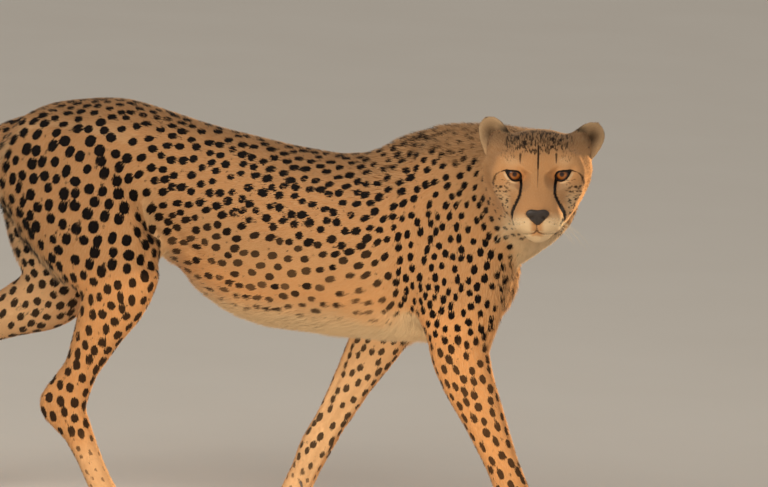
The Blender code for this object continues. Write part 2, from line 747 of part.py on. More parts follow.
# Eyes, ears, nose and claws are set into the flesh that carries them.
for side, word in ((-1, "right"), (1, "left")):
    boolean(parts["head"], lid_opening("lids_" + word, side), "DIFFERENCE")
    socket = ball("socket_" + word, eye_place(side), EYE_RADIUS + CUT)
    boolean(parts["head"], socket, "DIFFERENCE")
    parts["eye_" + word] = ball("eye_" + word, eye_place(side), EYE_RADIUS)
head_grown = grown(parts["head"], CUT)
for side, word in ((-1, "right"), (1, "left")):
    parts["ear_" + word] = boolean(ear_solid("ear_" + word, side), head_grown, "DIFFERENCE")
parts["nose"] = boolean(nose_solid("nose"), head_grown, "DIFFERENCE")
for name, leg in LEGS.items():
    paw_grown = grown(parts["paw_" + name], CUT)
    for number, (_, bend, tip) in enumerate(toe_places(leg), 1):
        aim = Vector((0.88, 0, -0.22)).normalized()
        claw = claw_solid(f"claw_{name}_{number}", tip + Vector((0.004, 0, 0.0035)), aim)
        parts[claw.name] = boolean(claw, paw_grown, "DIFFERENCE")
    if name.startswith("front"):
        inward = 1 if name.endswith("right") else -1
        place = Vector(leg["ankle"]).lerp(Vector(leg["knuckle"]), 0.55) + Vector((0.004, inward * 0.0205, 0))
        dewclaw = claw_solid(f"dewclaw_{name}", place, Vector((0.48, inward * 0.42, -0.77)).normalized())
        parts[dewclaw.name] = boolean(dewclaw, paw_grown, "DIFFERENCE")

# The frame's origin is on the floor, under the middle of the whole animal.
corners = np.array([v.co for part in parts.values() for v in part.data.vertices])
low, high = corners.min(axis=0), corners.max(axis=0)
TO_ORIGIN = Vector((-(low[0] + high[0]) / 2, -(low[1] + high[1]) / 2, -low[2]))
for name, part in parts.items():
    part.name = part.data.name = name
    part.data.transform(Matrix.Translation(TO_ORIGIN))
    part.hide_render = False
    for users in list(part.users_collection):
        users.objects.unlink(part)
    SHOWN.objects.link(part)
    part.data.materials.clear()
    look = EYE if name.startswith("eye") else NOSE if name == "nose" else CLAW if name.startswith("claw") else FUR
    part.data.materials.append(material(*look))
    part.data.shade_smooth()
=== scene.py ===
# %% [markdown]
# # A life-size cheetah
# The solids of this model are already packed in one frame, in metres, with the floor at z = 0.
# This lesson dresses them: a single skin over all the flesh, the spotted coat in thin tufts,
# and the eyes, nose, whiskers and claws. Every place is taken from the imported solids.

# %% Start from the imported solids
import itertools
import json
import math

import bmesh
import bpy
import numpy as np
from mathutils import Matrix, Vector
from mathutils.bvhtree import BVHTree
from mathutils.kdtree import KDTree

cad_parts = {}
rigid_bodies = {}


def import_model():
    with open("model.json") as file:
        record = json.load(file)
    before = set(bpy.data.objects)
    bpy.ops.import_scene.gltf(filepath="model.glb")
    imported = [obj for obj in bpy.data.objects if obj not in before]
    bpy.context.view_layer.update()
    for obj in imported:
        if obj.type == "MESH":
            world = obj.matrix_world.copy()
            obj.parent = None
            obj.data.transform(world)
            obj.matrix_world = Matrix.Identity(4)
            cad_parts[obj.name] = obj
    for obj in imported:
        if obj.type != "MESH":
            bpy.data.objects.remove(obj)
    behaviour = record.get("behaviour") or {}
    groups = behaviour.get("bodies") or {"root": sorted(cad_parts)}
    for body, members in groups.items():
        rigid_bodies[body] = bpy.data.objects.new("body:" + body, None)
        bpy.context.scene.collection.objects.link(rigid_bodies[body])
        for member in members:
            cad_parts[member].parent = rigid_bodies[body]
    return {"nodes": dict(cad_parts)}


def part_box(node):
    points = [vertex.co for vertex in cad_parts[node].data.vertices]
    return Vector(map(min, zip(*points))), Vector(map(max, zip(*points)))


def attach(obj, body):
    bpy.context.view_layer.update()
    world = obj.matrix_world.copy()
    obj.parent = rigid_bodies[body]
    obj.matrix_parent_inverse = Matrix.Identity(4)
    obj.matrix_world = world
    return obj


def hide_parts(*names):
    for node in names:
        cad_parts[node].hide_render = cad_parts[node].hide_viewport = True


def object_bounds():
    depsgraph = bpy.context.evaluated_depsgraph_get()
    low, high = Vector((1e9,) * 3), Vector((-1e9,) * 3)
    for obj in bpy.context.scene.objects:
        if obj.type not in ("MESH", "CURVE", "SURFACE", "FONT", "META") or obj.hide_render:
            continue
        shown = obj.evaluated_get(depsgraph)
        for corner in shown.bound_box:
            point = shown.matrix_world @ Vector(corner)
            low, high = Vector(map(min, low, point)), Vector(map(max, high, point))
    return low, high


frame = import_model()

nodes = frame["nodes"]
scene = bpy.context.scene
for name in ("Cube", "Light", "Camera"):
    if name in bpy.data.objects:
        bpy.data.objects.remove(bpy.data.objects[name])
cad_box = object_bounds()
chance = np.random.default_rng(7)
print(len(nodes), "solids, box", [round(b - a, 3) for a, b in zip(*cad_box)])

# %% [markdown]
# ## Where the head looks
# The body walks along +X, and the head is turned to the animal's right. All the details of
# the face are easier to state in the head's own directions: forwards, left and up. The eyes
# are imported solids, so the head's place comes from the middle between them.

# %% The head's own directions
HEAD_TURN, HEAD_PITCH, HEAD_ROLL = (math.radians(a) for a in (76, 5, 3.2))
EYES_BEHIND, EYES_BELOW = 0.0100, 0.0030


def middle(name):
    low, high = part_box(name)
    return (low + high) / 2


between_eyes = (middle("eye_left") + middle("eye_right")) / 2
HEAD = (
    Matrix.Translation(between_eyes)
    @ Matrix.Rotation(-HEAD_TURN, 4, "Z")
    @ Matrix.Rotation(-HEAD_PITCH, 4, "Y")
    @ Matrix.Rotation(HEAD_ROLL, 4, "X")
    @ Matrix.Translation((EYES_BEHIND, 0, EYES_BELOW))
)
HEAD_AXES = np.array(HEAD.to_3x3())
HEAD_PLACE = np.array(HEAD.translation)


def in_head(points):
    """Forwards, left and up of each point, from the middle of the face."""
    return (np.asarray(points) - HEAD_PLACE) @ HEAD_AXES


print("head at", [round(x, 3) for x in HEAD_PLACE])


# %% Objects and their meshes
def new_object(name, data):
    made = bpy.data.objects.new(name, data)
    scene.collection.objects.link(made)
    return made


def mesh_of(shape, name):
    """A mesh from a bmesh, which is then freed."""
    made = bpy.data.meshes.new(name)
    shape.to_mesh(made)
    shape.free()
    return made


def final_mesh(thing, name):
    """The mesh with its modifiers applied. The object is then removed."""
    made = bpy.data.meshes.new_from_object(thing.evaluated_get(bpy.context.evaluated_depsgraph_get()))
    made.name = name
    bpy.data.objects.remove(thing)
    return made


# %% [markdown]
# ## Camera, floor and light
# A long lens from ten metres gives the flat, calm view of an animal seen from far off. The
# roll of three degrees leans the view a little. The floor is plain and pale, and the light is
# soft, with a warm lamp behind the animal's head so that the edge of its coat glows.

# %% Camera
AZIMUTH, ELEVATION, ROLL = (math.radians(a) for a in (16, 9, 3))
DISTANCE, VIEW_WIDTH, FILM_WIDTH = 10.0, 1.1130, 36
AIM_ASIDE, AIM_BELOW, AIM_BEHIND = 0.2098, 0.1083, 0.3863  # from the eyes to the middle of the view
right = Vector((math.cos(AZIMUTH), math.sin(AZIMUTH), 0))
back = Vector((
    math.sin(AZIMUTH) * math.cos(ELEVATION), -math.cos(AZIMUTH) * math.cos(ELEVATION), math.sin(ELEVATION)))
up = back.cross(right)
look_at = between_eyes - right * AIM_ASIDE - up * AIM_BELOW - back * AIM_BEHIND
camera = new_object("camera", bpy.data.cameras.new("camera"))
camera.data.sensor_width = FILM_WIDTH
camera.data.lens = FILM_WIDTH * DISTANCE / VIEW_WIDTH
camera.data.clip_end = 100
camera.matrix_world = (
    Matrix.Translation(look_at + back * DISTANCE)
    @ Matrix((right, up, back)).transposed().to_4x4()
    @ Matrix.Rotation(ROLL, 4, "Z")
)
scene.camera = camera
print("camera", round(camera.data.lens, 1), "mm at height", round(camera.location.z, 2), "m")


# %% A short way to write shader nodes
def give(tree, socket, value):
    """A link from another node, or a constant."""
    if isinstance(value, bpy.types.NodeSocket):
        tree.links.new(value, socket)
    else:
        socket.default_value = value


def node(tree, kind, inputs=None, **settings):
    made = tree.nodes.new(kind)
    for name, value in settings.items():
        setattr(made, name, value)
    for name, value in (inputs or {}).items():
        give(tree, made.inputs[name], value)
    return made


def rgb(red, green, blue):
    """A colour given as on a screen, 0 to 255, in the linear light that shaders use."""
    linear = (((c / 255 + 0.055) / 1.055) ** 2.4 if c > 10 else c / 3295 for c in (red, green, blue))
    return (*linear, 1)


def mix(tree, share, first, second):
    """Two colours mixed."""
    made = node(tree, "ShaderNodeMix", data_type="RGBA")
    for name, value in ((0, share), (6, first), (7, second)):
        give(tree, made.inputs[name], value)
    return made.outputs[2]


def maths(tree, operation, first, second):
    return node(tree, "ShaderNodeMath", {0: first, 1: second}, operation=operation).outputs[0]


def ranged(tree, value, low, high, to_low=0.0, to_high=1.0, **settings):
    """A value carried from one range to another, and held at its ends."""
    ends = {"Value": value, "From Min": low, "From Max": high, "To Min": to_low, "To Max": to_high}
    return node(tree, "ShaderNodeMapRange", ends, **settings).outputs["Result"]


def noise(tree, place, scale, detail=2.0, roughness=0.5):
    inputs = {"Vector": place, "Scale": scale, "Detail": detail, "Roughness": roughness}
    return node(tree, "ShaderNodeTexNoise", inputs).outputs["Fac"]


def attribute(tree, name, output="Fac"):
    return node(tree, "ShaderNodeAttribute", attribute_name=name).outputs[output]


def material(name, roughness, **constant):
    """A new material: its tree, its Principled shader, and its object coordinates."""
    made = bpy.data.materials.new(name)
    made.use_nodes = True
    tree = made.node_tree
    shader = tree.nodes["Principled BSDF"]
    shader.inputs["Roughness"].default_value = roughness
    for socket, value in constant.items():
        shader.inputs[socket.replace("_", " ")].default_value = value
    return made, tree, shader, node(tree, "ShaderNodeTexCoord").outputs["Object"]


def roughen(tree, shader, height, strength, distance):
    bump = node(tree, "ShaderNodeBump", {"Height": height, "Strength": strength, "Distance": distance})
    tree.links.new(bump.outputs["Normal"], shader.inputs["Normal"])


def grained(name, roughness, scale, detail, dark, light, bump=None, **constant):
    """A material whose colour wanders between two tones, with a bump of the same grain."""
    made, tree, shader, place = material(name, roughness, **constant)
    grain = noise(tree, place, scale, detail)
    tree.links.new(mix(tree, grain, rgb(*dark), rgb(*light)), shader.inputs["Base Color"])
    if bump:
        roughen(tree, shader, grain, *bump)
    return made


# %% Floor, sky and lamps
FLOOR_HALF = 40
square = bmesh.new()
bmesh.ops.create_grid(square, x_segments=8, y_segments=8, size=FLOOR_HALF)
floor = new_object("floor", mesh_of(square, "floor"))
floor.data.materials.append(grained("pale_floor", 0.85, 3.0, 6.0, (226, 219, 208), (232, 226, 216)))

sky = bpy.data.worlds.new("studio")
sky.use_nodes = True
all_round = sky.node_tree.nodes["Background"].inputs
all_round["Color"].default_value, all_round["Strength"].default_value = rgb(236, 230, 222), 0.50
scene.world = sky
scene.view_settings.view_transform = "Standard"


def lamp(name, place, aim, size, power, colour, spread=180, mirrored=True):
    made = new_object(name, bpy.data.lights.new(name, "AREA"))
    made.visible_camera, made.visible_glossy = False, mirrored
    made.data.spread = math.radians(spread)
    made.data.shape, made.data.size = "DISK", size
    made.data.energy, made.data.color = power, colour
    made.location = place
    made.rotation_euler = (Vector(aim) - Vector(place)).to_track_quat("-Z", "Y").to_euler()
    return made


body_middle = (cad_box[0] + cad_box[1]) / 2
lamp("key", (-1.6, -3.4, 3.2), body_middle, 2.4, 80, (1.0, 0.94, 0.86))
lamp("fill", (3.0, -3.2, 1.6), body_middle, 2.6, 30, (1.0, 0.95, 0.90), mirrored=False)
low_sun = lamp(
    "low_sun", (1.8, 4.4, 0.85), between_eyes, 0.8, 62, (1.0, 0.76, 0.45), spread=60, mirrored=False)
ground_glow = lamp(
    "ground_glow", (0.60, -1.10, 0.26), (0.30, 0.0, 0.04), 0.6, 2.2, (1.0, 0.84, 0.62),
    spread=80, mirrored=False)
# the two warm lamps leave the floor out, so that it stays plain
unlit = bpy.data.collections.new("floor_left_out")
unlit.objects.link(floor)
unlit.collection_objects[0].light_linking.link_state = "EXCLUDE"
for warm_light in (low_sun, ground_glow):
    warm_light.light_linking.receiver_collection = unlit

# %% [markdown]
# ## One skin over all the flesh
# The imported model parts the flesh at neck, shoulders and hips. A real animal shows no seams,
# so copies of those solids are joined, grown by a little so that they overlap, and
# remeshed into one closed skin. The eyes and nose go in too, which closes their sockets; the
# lids are then shaped over the eyeballs.

# %% Which solids are flesh
HARD = ("claw", "dewclaw", "eye", "nose")
FLESH = sorted(n for n in nodes if not n.startswith(HARD))
GROW, VOXEL = 0.0006, 0.0021

joined = bmesh.new()
for name in FLESH + ["eye_left", "eye_right", "nose"]:
    joined.from_mesh(nodes[name].data)
bmesh.ops.remove_doubles(joined, verts=joined.verts[:], dist=1e-5)
joined.normal_update()
for v in joined.verts:
    v.co += v.normal * GROW
flesh = new_object("flesh", mesh_of(joined, "flesh"))
remesh = flesh.modifiers.new("one_skin", "REMESH")
remesh.mode, remesh.voxel_size, remesh.use_smooth_shade = "VOXEL", VOXEL, True
skin_mesh = final_mesh(flesh, "skin")
print("one skin of", len(skin_mesh.vertices), "points")


# %% Reading and writing a mesh as arrays
def triples(items, key):
    found = np.empty(len(items) * 3, np.float32)
    items.foreach_get(key, found)
    return found.reshape(-1, 3).astype(float)


def places(mesh):
    return triples(mesh.vertices, "co")


def normals(mesh):
    return triples(mesh.vertex_normals, "vector")


def move_to(mesh, points):
    mesh.vertices.foreach_set("co", points.astype(np.float32).ravel())
    mesh.update()


def unit(vectors):
    return vectors / np.maximum(np.linalg.norm(vectors, axis=-1, keepdims=True), 1e-12)


def smoothstep(low, high, x):
    t = np.clip((x - low) / (high - low), 0, 1)
    return t * t * (3 - 2 * t)


class Neighbours:
    """Averages any value over the points next to each point of a mesh."""

    def __init__(self, mesh):
        ends = np.empty(len(mesh.edges) * 2, np.int32)
        mesh.edges.foreach_get("vertices", ends)
        ends = ends.reshape(-1, 2)
        self.here = np.concatenate([ends[:, 0], ends[:, 1]])
        self.there = np.concatenate([ends[:, 1], ends[:, 0]])
        self.size = len(mesh.vertices)
        self.count = np.maximum(np.bincount(self.here, minlength=self.size), 1)

    def mean(self, values):
        columns = [np.bincount(self.here, weights=c[self.there], minlength=self.size) for c in values.T]
        return np.stack(columns, 1) / self.count[:, None]


# %% [markdown]
# ## Softening the facets
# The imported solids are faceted. Moving each point part of the way to the mean of its
# neighbours, many times, melts the facets into muscle. The face, ears and feet are finely
# shaped, so they get fewer rounds than the trunk and the back of the head.

# %% Soften
points = places(skin_mesh)
head_points = in_head(points)
near_head = 1 - smoothstep(0.10, 0.16, np.linalg.norm(head_points - (0.0, 0, -0.02), axis=1))
near_floor = 1 - smoothstep(0.05, 0.12, points[:, 2])
claw_places = np.array([middle(n) for n in sorted(nodes) if n.startswith("claw")])
to_claw = np.min([np.linalg.norm(points - c, axis=1) for c in claw_places], axis=0)
near_toes = 1 - smoothstep(0.030, 0.042, to_claw)
before_ruff = smoothstep(-0.086, -0.066, head_points[:, 0])
finely_shaped = np.maximum.reduce([near_head * before_ruff, near_floor * 0.9, near_toes])
neighbours = Neighbours(skin_mesh)
ROUNDS, FINE_ROUNDS = 60, 7
for step in range(ROUNDS):
    pull = 0.5 * (1 - finely_shaped) if step >= FINE_ROUNDS else np.full(len(points), 0.5)
    points += pull[:, None] * (neighbours.mean(points) - points)
move_to(skin_mesh, points)
print("softened over", ROUNDS, "rounds")

# %% [markdown]
# ## Fine on the face, coarse on the flanks
# A face needs points a millimetre apart and a flank does not. Decimate takes a vertex group
# that says where it may thin the mesh. Afterwards the front of the face is subdivided.

# %% Thin the body, refine the face
BODY_SHARE, LONGEST_EDGE = 0.110, 0.0092
STEPS_OF_SHARE, GROUP_FACTOR = 10, 8.0
EVEN_ROUNDS = 4
thin_here = new_object("thin_here", skin_mesh)
group = thin_here.vertex_groups.new(name="thin")
keep = np.maximum.reduce([near_head, near_toes * 0.7, near_floor * 0.05])
for level in range(1, STEPS_OF_SHARE + 1):
    chosen = np.nonzero(np.round(STEPS_OF_SHARE * (1 - keep)) == level)[0]
    if len(chosen):
        group.add([int(i) for i in chosen], level / STEPS_OF_SHARE, "REPLACE")
fewer = thin_here.modifiers.new("thin", "DECIMATE")
fewer.ratio, fewer.vertex_group, fewer.vertex_group_factor = BODY_SHARE, "thin", GROUP_FACTOR
skin_mesh = final_mesh(thin_here, "skin")

shaped = bmesh.new()
shaped.from_mesh(skin_mesh)


def on_face(place):
    x, y, z = HEAD.inverted() @ place
    return x > -0.012 and abs(y) < 0.054 and -0.100 < z < 0.030


inside = {v for v in shaped.verts if on_face(v.co)}
face_edges = [e for e in shaped.edges if e.verts[0] in inside and e.verts[1] in inside]
bmesh.ops.subdivide_edges(shaped, edges=face_edges, cuts=1)
for limit in (0.014, 0.011, LONGEST_EDGE):
    long_edges = [e for e in shaped.edges if e.calc_length() > limit]
    bmesh.ops.subdivide_edges(shaped, edges=long_edges, cuts=1)
    bmesh.ops.triangulate(shaped, faces=shaped.faces[:])
shaped.to_mesh(skin_mesh)
shaped.free()
skin_mesh.shade_smooth()
points, neighbours = places(skin_mesh), Neighbours(skin_mesh)
for step in range(EVEN_ROUNDS):
    points += 0.5 * (neighbours.mean(points) - points)
move_to(skin_mesh, points)
head_points = in_head(points)
print("skin:", len(skin_mesh.polygons), "triangles, of them",
      int((np.linalg.norm(head_points, axis=1) < 0.12).sum()), "points on the head")

# %% [markdown]
# ## The face, seen from in front
# Many forms and marks of the face are stated by where they are seen from in front: `u` to
# the animal's left and `v` up. A point further forwards looks a little lower, because the
# face is seen from slightly above.

# %% Where a point is seen on the face
SEEN_SIDE, SEEN_DOWN = 0.016, 0.0575


def seen(head_points):
    x, y, z = head_points.T
    return np.stack([y + SEEN_SIDE * x, z - SEEN_DOWN * x], 1)


def line_distance(uv, stops, widths):
    """How far points are outside a drawn line whose width changes from stop to stop."""
    best = np.full(len(uv), 1.0)
    for start, end, wide, next_wide in zip(stops, stops[1:], widths, widths[1:]):
        a, b = np.array(start), np.array(end)
        t = np.clip((uv - a) @ (b - a) / max((b - a) @ (b - a), 1e-12), 0, 1)
        away = np.linalg.norm(uv - a - t[:, None] * (b - a), axis=1)
        best = np.minimum(best, away - (wide + (next_wide - wide) * t) / 2)
    return best


def thin(stops):
    return np.zeros(len(stops))


def curve(stops, cuts=6):
    """More stops on a smooth curve through the given ones."""
    p = np.array([stops[0], *stops, stops[-1]], float)
    found = []
    for i in range(1, len(p) - 2):
        for t in np.arange(cuts) / cuts:
            a, b, c, d = p[i - 1 : i + 3]
            found.append(0.5 * (2 * b + (c - a) * t + (2 * a - 5 * b + 4 * c - d) * t * t
                                + (3 * b - a - 3 * c + d) * t ** 3))
    return np.array(found + [p[-1]])


# %% [markdown]
# ## Eyelids
# The eyeballs are solids of their own. A lid is the skin lying on the ball: inside the
# almond-shaped opening the skin drops behind the ball, and round it the skin stands a
# millimetre and a half proud, then runs out into the brow and cheek.

# %% Shape of the opening of an eye
EYE_RADIUS = (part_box("eye_left")[1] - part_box("eye_left")[0]).x / 2
GAZE_OUT, LID_PROUD, LID_RUNS_OUT = math.radians(-4), 0.0015, 0.010
OPENING = curve([  # out from the middle of the ball, and up: a straight upper lid, a round inner corner
    (0.0112, 0.0050), (0.0070, 0.0044), (0.0010, 0.0042), (-0.0042, 0.0032), (-0.0074, 0.0006),
    (-0.0086, -0.0030), (-0.0074, -0.0070), (-0.0040, -0.0084), (0.0010, -0.0080), (0.0046, -0.0060),
    (0.0078, -0.0022), (0.0100, 0.0020), (0.0112, 0.0050)], 4)


class Eye:
    def __init__(self, name, side):
        self.side = side
        self.centre = np.array(middle(name))
        turn = Matrix.Rotation(side * GAZE_OUT, 3, "Z")
        self.gaze, self.left, self.up = (HEAD_AXES @ np.array(turn)).T

    def flat(self, points):
        """Outwards and up as the eye is faced, and how far in front of its centre."""
        away = points - self.centre
        return self.side * (away @ self.left), away @ self.up, away @ self.gaze

    def outside(self, points):
        """How far points lie outside the opening, seen from in front. Inside is negative."""
        across, height, _ = self.flat(points)
        away = np.full(len(points), 0.05)
        near = np.nonzero(np.hypot(across, height) < 0.045)[0]
        flat = np.stack([across[near], height[near]], 1)
        crossed = np.zeros(len(near), int)
        for (x, y), (next_x, next_y) in zip(OPENING, OPENING[1:]):
            spans = (flat[:, 1] < y) != (flat[:, 1] < next_y)
            with np.errstate(divide="ignore", invalid="ignore"):
                at = x + (flat[:, 1] - y) * (next_x - x) / (next_y - y)
            crossed += spans & (flat[:, 0] < at)
        rim = line_distance(flat, OPENING, thin(OPENING))
        away[near] = np.where(crossed % 2 == 1, -rim, rim)
        return away

    def rim(self, lift=0.0):
        """Points round the edge of the opening, on the ball."""
        found = []
        for across, height in OPENING[:-1]:
            ahead = math.sqrt(max((EYE_RADIUS + lift) ** 2 - across**2 - height**2, 0))
            found.append(self.centre + self.side * across * self.left + height * self.up + ahead * self.gaze)
        return found


def outside_both(points):
    """How far points lie outside the nearer opening. Those behind the eyes count as far off."""
    return np.minimum.reduce([eye.outside(points) + 10 * (eye.flat(points)[2] < 0) for eye in EYES])


EYES = [Eye("eye_left", 1), Eye("eye_right", -1)]
print("eyeballs of radius", round(EYE_RADIUS, 4))


# %% Lay the lids on the eyeballs
SINK, RIM_STEP = 0.0028, 0.0006  # how far the skin drops inside the opening, and how much the lid thins
LID_ROUNDS, LID_PULL = 5, 0.6  # how often and how strongly the skin round the lids is softened
points = places(skin_mesh)
for eye in EYES:
    away = points - eye.centre
    across, height, ahead = eye.flat(points)
    far, aside = np.linalg.norm(away, axis=1), np.hypot(across, height)
    outside = eye.outside(points)
    lid = EYE_RADIUS + LID_PROUD - RIM_STEP * smoothstep(0.0035, 0.0052, outside) * (outside < 0.007)
    lid = np.where(outside < 0, EYE_RADIUS - SINK, lid)
    to_nose = smoothstep(0.000, -0.008, across) * smoothstep(0.006, -0.002, height)
    moved = 1 - smoothstep(0.0022, LID_RUNS_OUT + 0.005 * to_nose, outside)
    moved *= (ahead > 0.0035) & (far < 0.060)
    drawn = points + unit(away) * (moved * (lid - far))[:, None]
    on_ball = np.sqrt(np.maximum(lid**2 - aside**2, 0.004**2))
    straight = points + eye.gaze * (moved * (on_ball - ahead))[:, None]
    blend = np.maximum(1 - smoothstep(0.0125, 0.0155, aside), smoothstep(0.019, 0.024, far))[:, None]
    points = np.where(moved[:, None] > 0, drawn + blend * (straight - drawn), points)
by_eye = outside_both(points)
softer = (smoothstep(0.0035, 0.0060, by_eye) * smoothstep(0.024, 0.016, by_eye))[:, None]
neighbours = Neighbours(skin_mesh)
for step in range(LID_ROUNDS):
    points += LID_PULL * softer * (neighbours.mean(points) - points)
move_to(skin_mesh, points)
print("lids shaped over", len(EYES), "eyes")

# %% Part the toes
GROOVE_DEEP, GROOVE_HALF, GROOVE_REACH = 0.0026, 0.0022, 0.05
points, outwards = places(skin_mesh), normals(skin_mesh)
press = np.zeros(len(points))
for paw in range(0, len(claw_places), 4):
    toes = claw_places[paw : paw + 4]
    toes = toes[np.argsort(toes[:, 1])]
    for gap in (toes[1:] + toes[:-1]) / 2:
        ahead, aside = points[:, 0] - gap[0], points[:, 1] - gap[1]
        there = smoothstep(-0.042, -0.022, ahead) * (np.abs(ahead) < GROOVE_REACH) * (points[:, 2] > 0.002)
        press += GROOVE_DEEP * np.exp(-((aside / GROOVE_HALF) ** 2)) * there
points -= press[:, None] * outwards
move_to(skin_mesh, points)
print("toes parted by grooves", round(1000 * press.max(), 1), "mm deep")

# %% [markdown]
# ## Muzzle, lips and nose
# The mouth is a closed line, so the skin is pressed in along it, and along the short groove
# from nose to lip. The pads that carry the whiskers swell on either side, and the cheek is
# parted from them by a shallow furrow where the black tear line runs.

# %% Lines of the face, for the left side
TEAR_LINE = curve([
    (0.0262, -0.0010), (0.0248, -0.0090), (0.0236, -0.0200), (0.0248, -0.0320), (0.0288, -0.0410),
    (0.0325, -0.0490), (0.0356, -0.0562), (0.0362, -0.0634), (0.0344, -0.0692), (0.0318, -0.0745)])
TEAR_WIDTHS = np.interp(np.linspace(0, 1, len(TEAR_LINE)), (0, 0.1, 0.45, 0.6, 0.7, 0.8, 1),
                        (0.0030, 0.0042, 0.0042, 0.0054, 0.0046, 0.0030, 0.0010))
LIP_GROOVE = np.array([(0.0, -0.071), (0.0, -0.0810)])
MOUTH_LINE = curve([
    (0.0, -0.0808), (0.0040, -0.0846), (0.0110, -0.0860), (0.0200, -0.0856), (0.0290, -0.0826),
    (0.0370, -0.0750)])


def both_sides(uv):
    return np.stack([np.abs(uv[:, 0]), uv[:, 1]], 1)


def swell(uv, place, radius):
    """1 at a place, falling off round it."""
    return np.exp(-(((uv - place) / radius) ** 2).sum(1))


def furrow(uv, line, half):
    """1 along a line, falling off to its sides."""
    return np.exp(-((line_distance(uv, line, thin(line)) / half) ** 2))


def nose_half(down):
    """Half the width of the nose leather at a share of the way down it."""
    return np.interp(down, (0.0, 0.05, 0.12, 0.22, 0.34, 0.50, 0.68, 0.84, 0.95, 1.0),
                     (0.0080, 0.0116, 0.0144, 0.0162, 0.0161, 0.0134, 0.0096, 0.0056, 0.0026, 0.0010))


def on_leather(h):
    """How far up the nose leather points are, as a share, and how far aside in its half widths."""
    up_it = np.clip((h[:, 2] - (in_head([middle("nose")])[0, 2] - 0.0135)) / 0.024, 0, 1)
    return up_it, np.abs(h[:, 1]) / nose_half(1 - up_it)


# %% Press in the mouth and furrows, and swell the pads, chin and brows
NOSE_STARTS = 0.035  # how far ahead of the middle of the face
NOSE_SUNK = 0.0052  # how far the skin drops under the nose leather
points, outwards = places(skin_mesh), normals(skin_mesh)
h = in_head(points)
uv = both_sides(seen(h))
front = smoothstep(-0.02, 0.01, h[:, 0]) * smoothstep(-0.2, 0.3, outwards @ HEAD_AXES[:, 0])
press = 0.0026 * furrow(uv, MOUTH_LINE, 0.0016)
press += 0.0014 * furrow(uv, LIP_GROOVE, 0.0014)
press += 0.0012 * furrow(uv, TEAR_LINE, 0.0045) * (uv[:, 1] < -0.03)
press -= 0.0024 * swell(uv, (0.018, -0.073), (0.011, 0.009))  # the pads of the whiskers
press -= 0.0010 * swell(uv, (0.0, -0.096), (0.012, 0.006))  # the chin
up_nose, across_nose = on_leather(h)
on_nose = smoothstep(1.16, 0.98, across_nose) * smoothstep(0.0, 0.10, up_nose)
on_nose = on_nose * smoothstep(1.0, 0.88, up_nose)
press += NOSE_SUNK * on_nose * (h[:, 0] > NOSE_STARTS)
press -= 0.0016 * swell(uv, (0.036, 0.016), (0.016, 0.006))  # the brows
points -= (press * front)[:, None] * outwards
move_to(skin_mesh, points)
print("mouth, lip groove, whisker pads and brows pressed into the skin")

# %% [markdown]
# ## Coat, region by region
# Cheetah fur is short and lies flat, but a mantle of longer hair stands on the nape, and the
# belly, the backs of the thighs and the cheeks are fringed. Each region states how deep its
# coat is, how long and wide a tuft, and how far it stands off the skin. A blurred map of the
# regions then turns those few numbers into smooth fields.

# %% What each region of the coat is like
COAT = {  # depth of the coat, length and width of a tuft in metres, and how upright it is
    "head": (0.0016, 0.0055, 0.0011, 0.14),
    "ear": (0.0008, 0.0045, 0.0010, 0.14),
    "neck": (0.0044, 0.0108, 0.0017, 0.19),
    "trunk": (0.0032, 0.0088, 0.0017, 0.14),
    "tail": (0.0045, 0.0120, 0.0021, 0.26),
    "upper_arm": (0.0030, 0.0090, 0.0018, 0.14),
    "forearm": (0.0020, 0.0080, 0.0016, 0.13),
    "paw_front": (0.0012, 0.0050, 0.0013, 0.12),
    "thigh": (0.0034, 0.0088, 0.0017, 0.14),
    "shank": (0.0022, 0.0085, 0.0017, 0.13),
    "paw_hind": (0.0012, 0.0055, 0.0013, 0.12),
}
REGIONS = list(COAT)
BLUR_ROUNDS, RUFF_ROUNDS = 14, 90


def region_of(name):
    return next(i for i, region in reversed(list(enumerate(REGIONS))) if name.startswith(region))


corners, faces, owners = [], [], []
for name in FLESH:
    mesh = nodes[name].data
    faces += [[i + len(corners) for i in p.vertices] for p in mesh.polygons]
    owners += [region_of(name)] * len(mesh.polygons)
    corners += [v.co for v in mesh.vertices]
solid_tree = BVHTree.FromPolygons(corners, faces)
owner = np.array([owners[solid_tree.find_nearest(v.co)[2]] for v in skin_mesh.vertices])
neighbours = Neighbours(skin_mesh)
region = np.eye(len(REGIONS))[owner]
for step in range(BLUR_ROUNDS):
    region = 0.4 * region + 0.6 * neighbours.mean(region)
at_ruff = region[:, REGIONS.index("head")] + region[:, REGIONS.index("neck")] > 0.99
for step in range(RUFF_ROUNDS):  # the head's short coat passes slowly into the neck's long one
    region[at_ruff] = (0.3 * region + 0.7 * neighbours.mean(region))[at_ruff]
print({name: int((owner == i).sum()) for i, name in enumerate(REGIONS)})


# %% Regions by name, and smooth fields over the skin
def share(*names):
    return sum(region[:, REGIONS.index(n)] for n in names)


def fields(table):
    """Each column of a table of regions, blended over the skin."""
    return [region @ np.array([table[n][column] for n in REGIONS]) for column in range(4)]


def belongs(within, *limits):
    """A share of the skin, times a smooth step for each value and its two limits."""
    for value, low, high in limits:
        within = within * smoothstep(low, high, value)
    return within


points, outwards = places(skin_mesh), normals(skin_mesh)
h = in_head(points)
uv = seen(h)
aside = np.abs(h[:, 1])
neck_start, tail_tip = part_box("neck")[0].x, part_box("tail_tip")
depth, length, width, upright = fields(COAT)

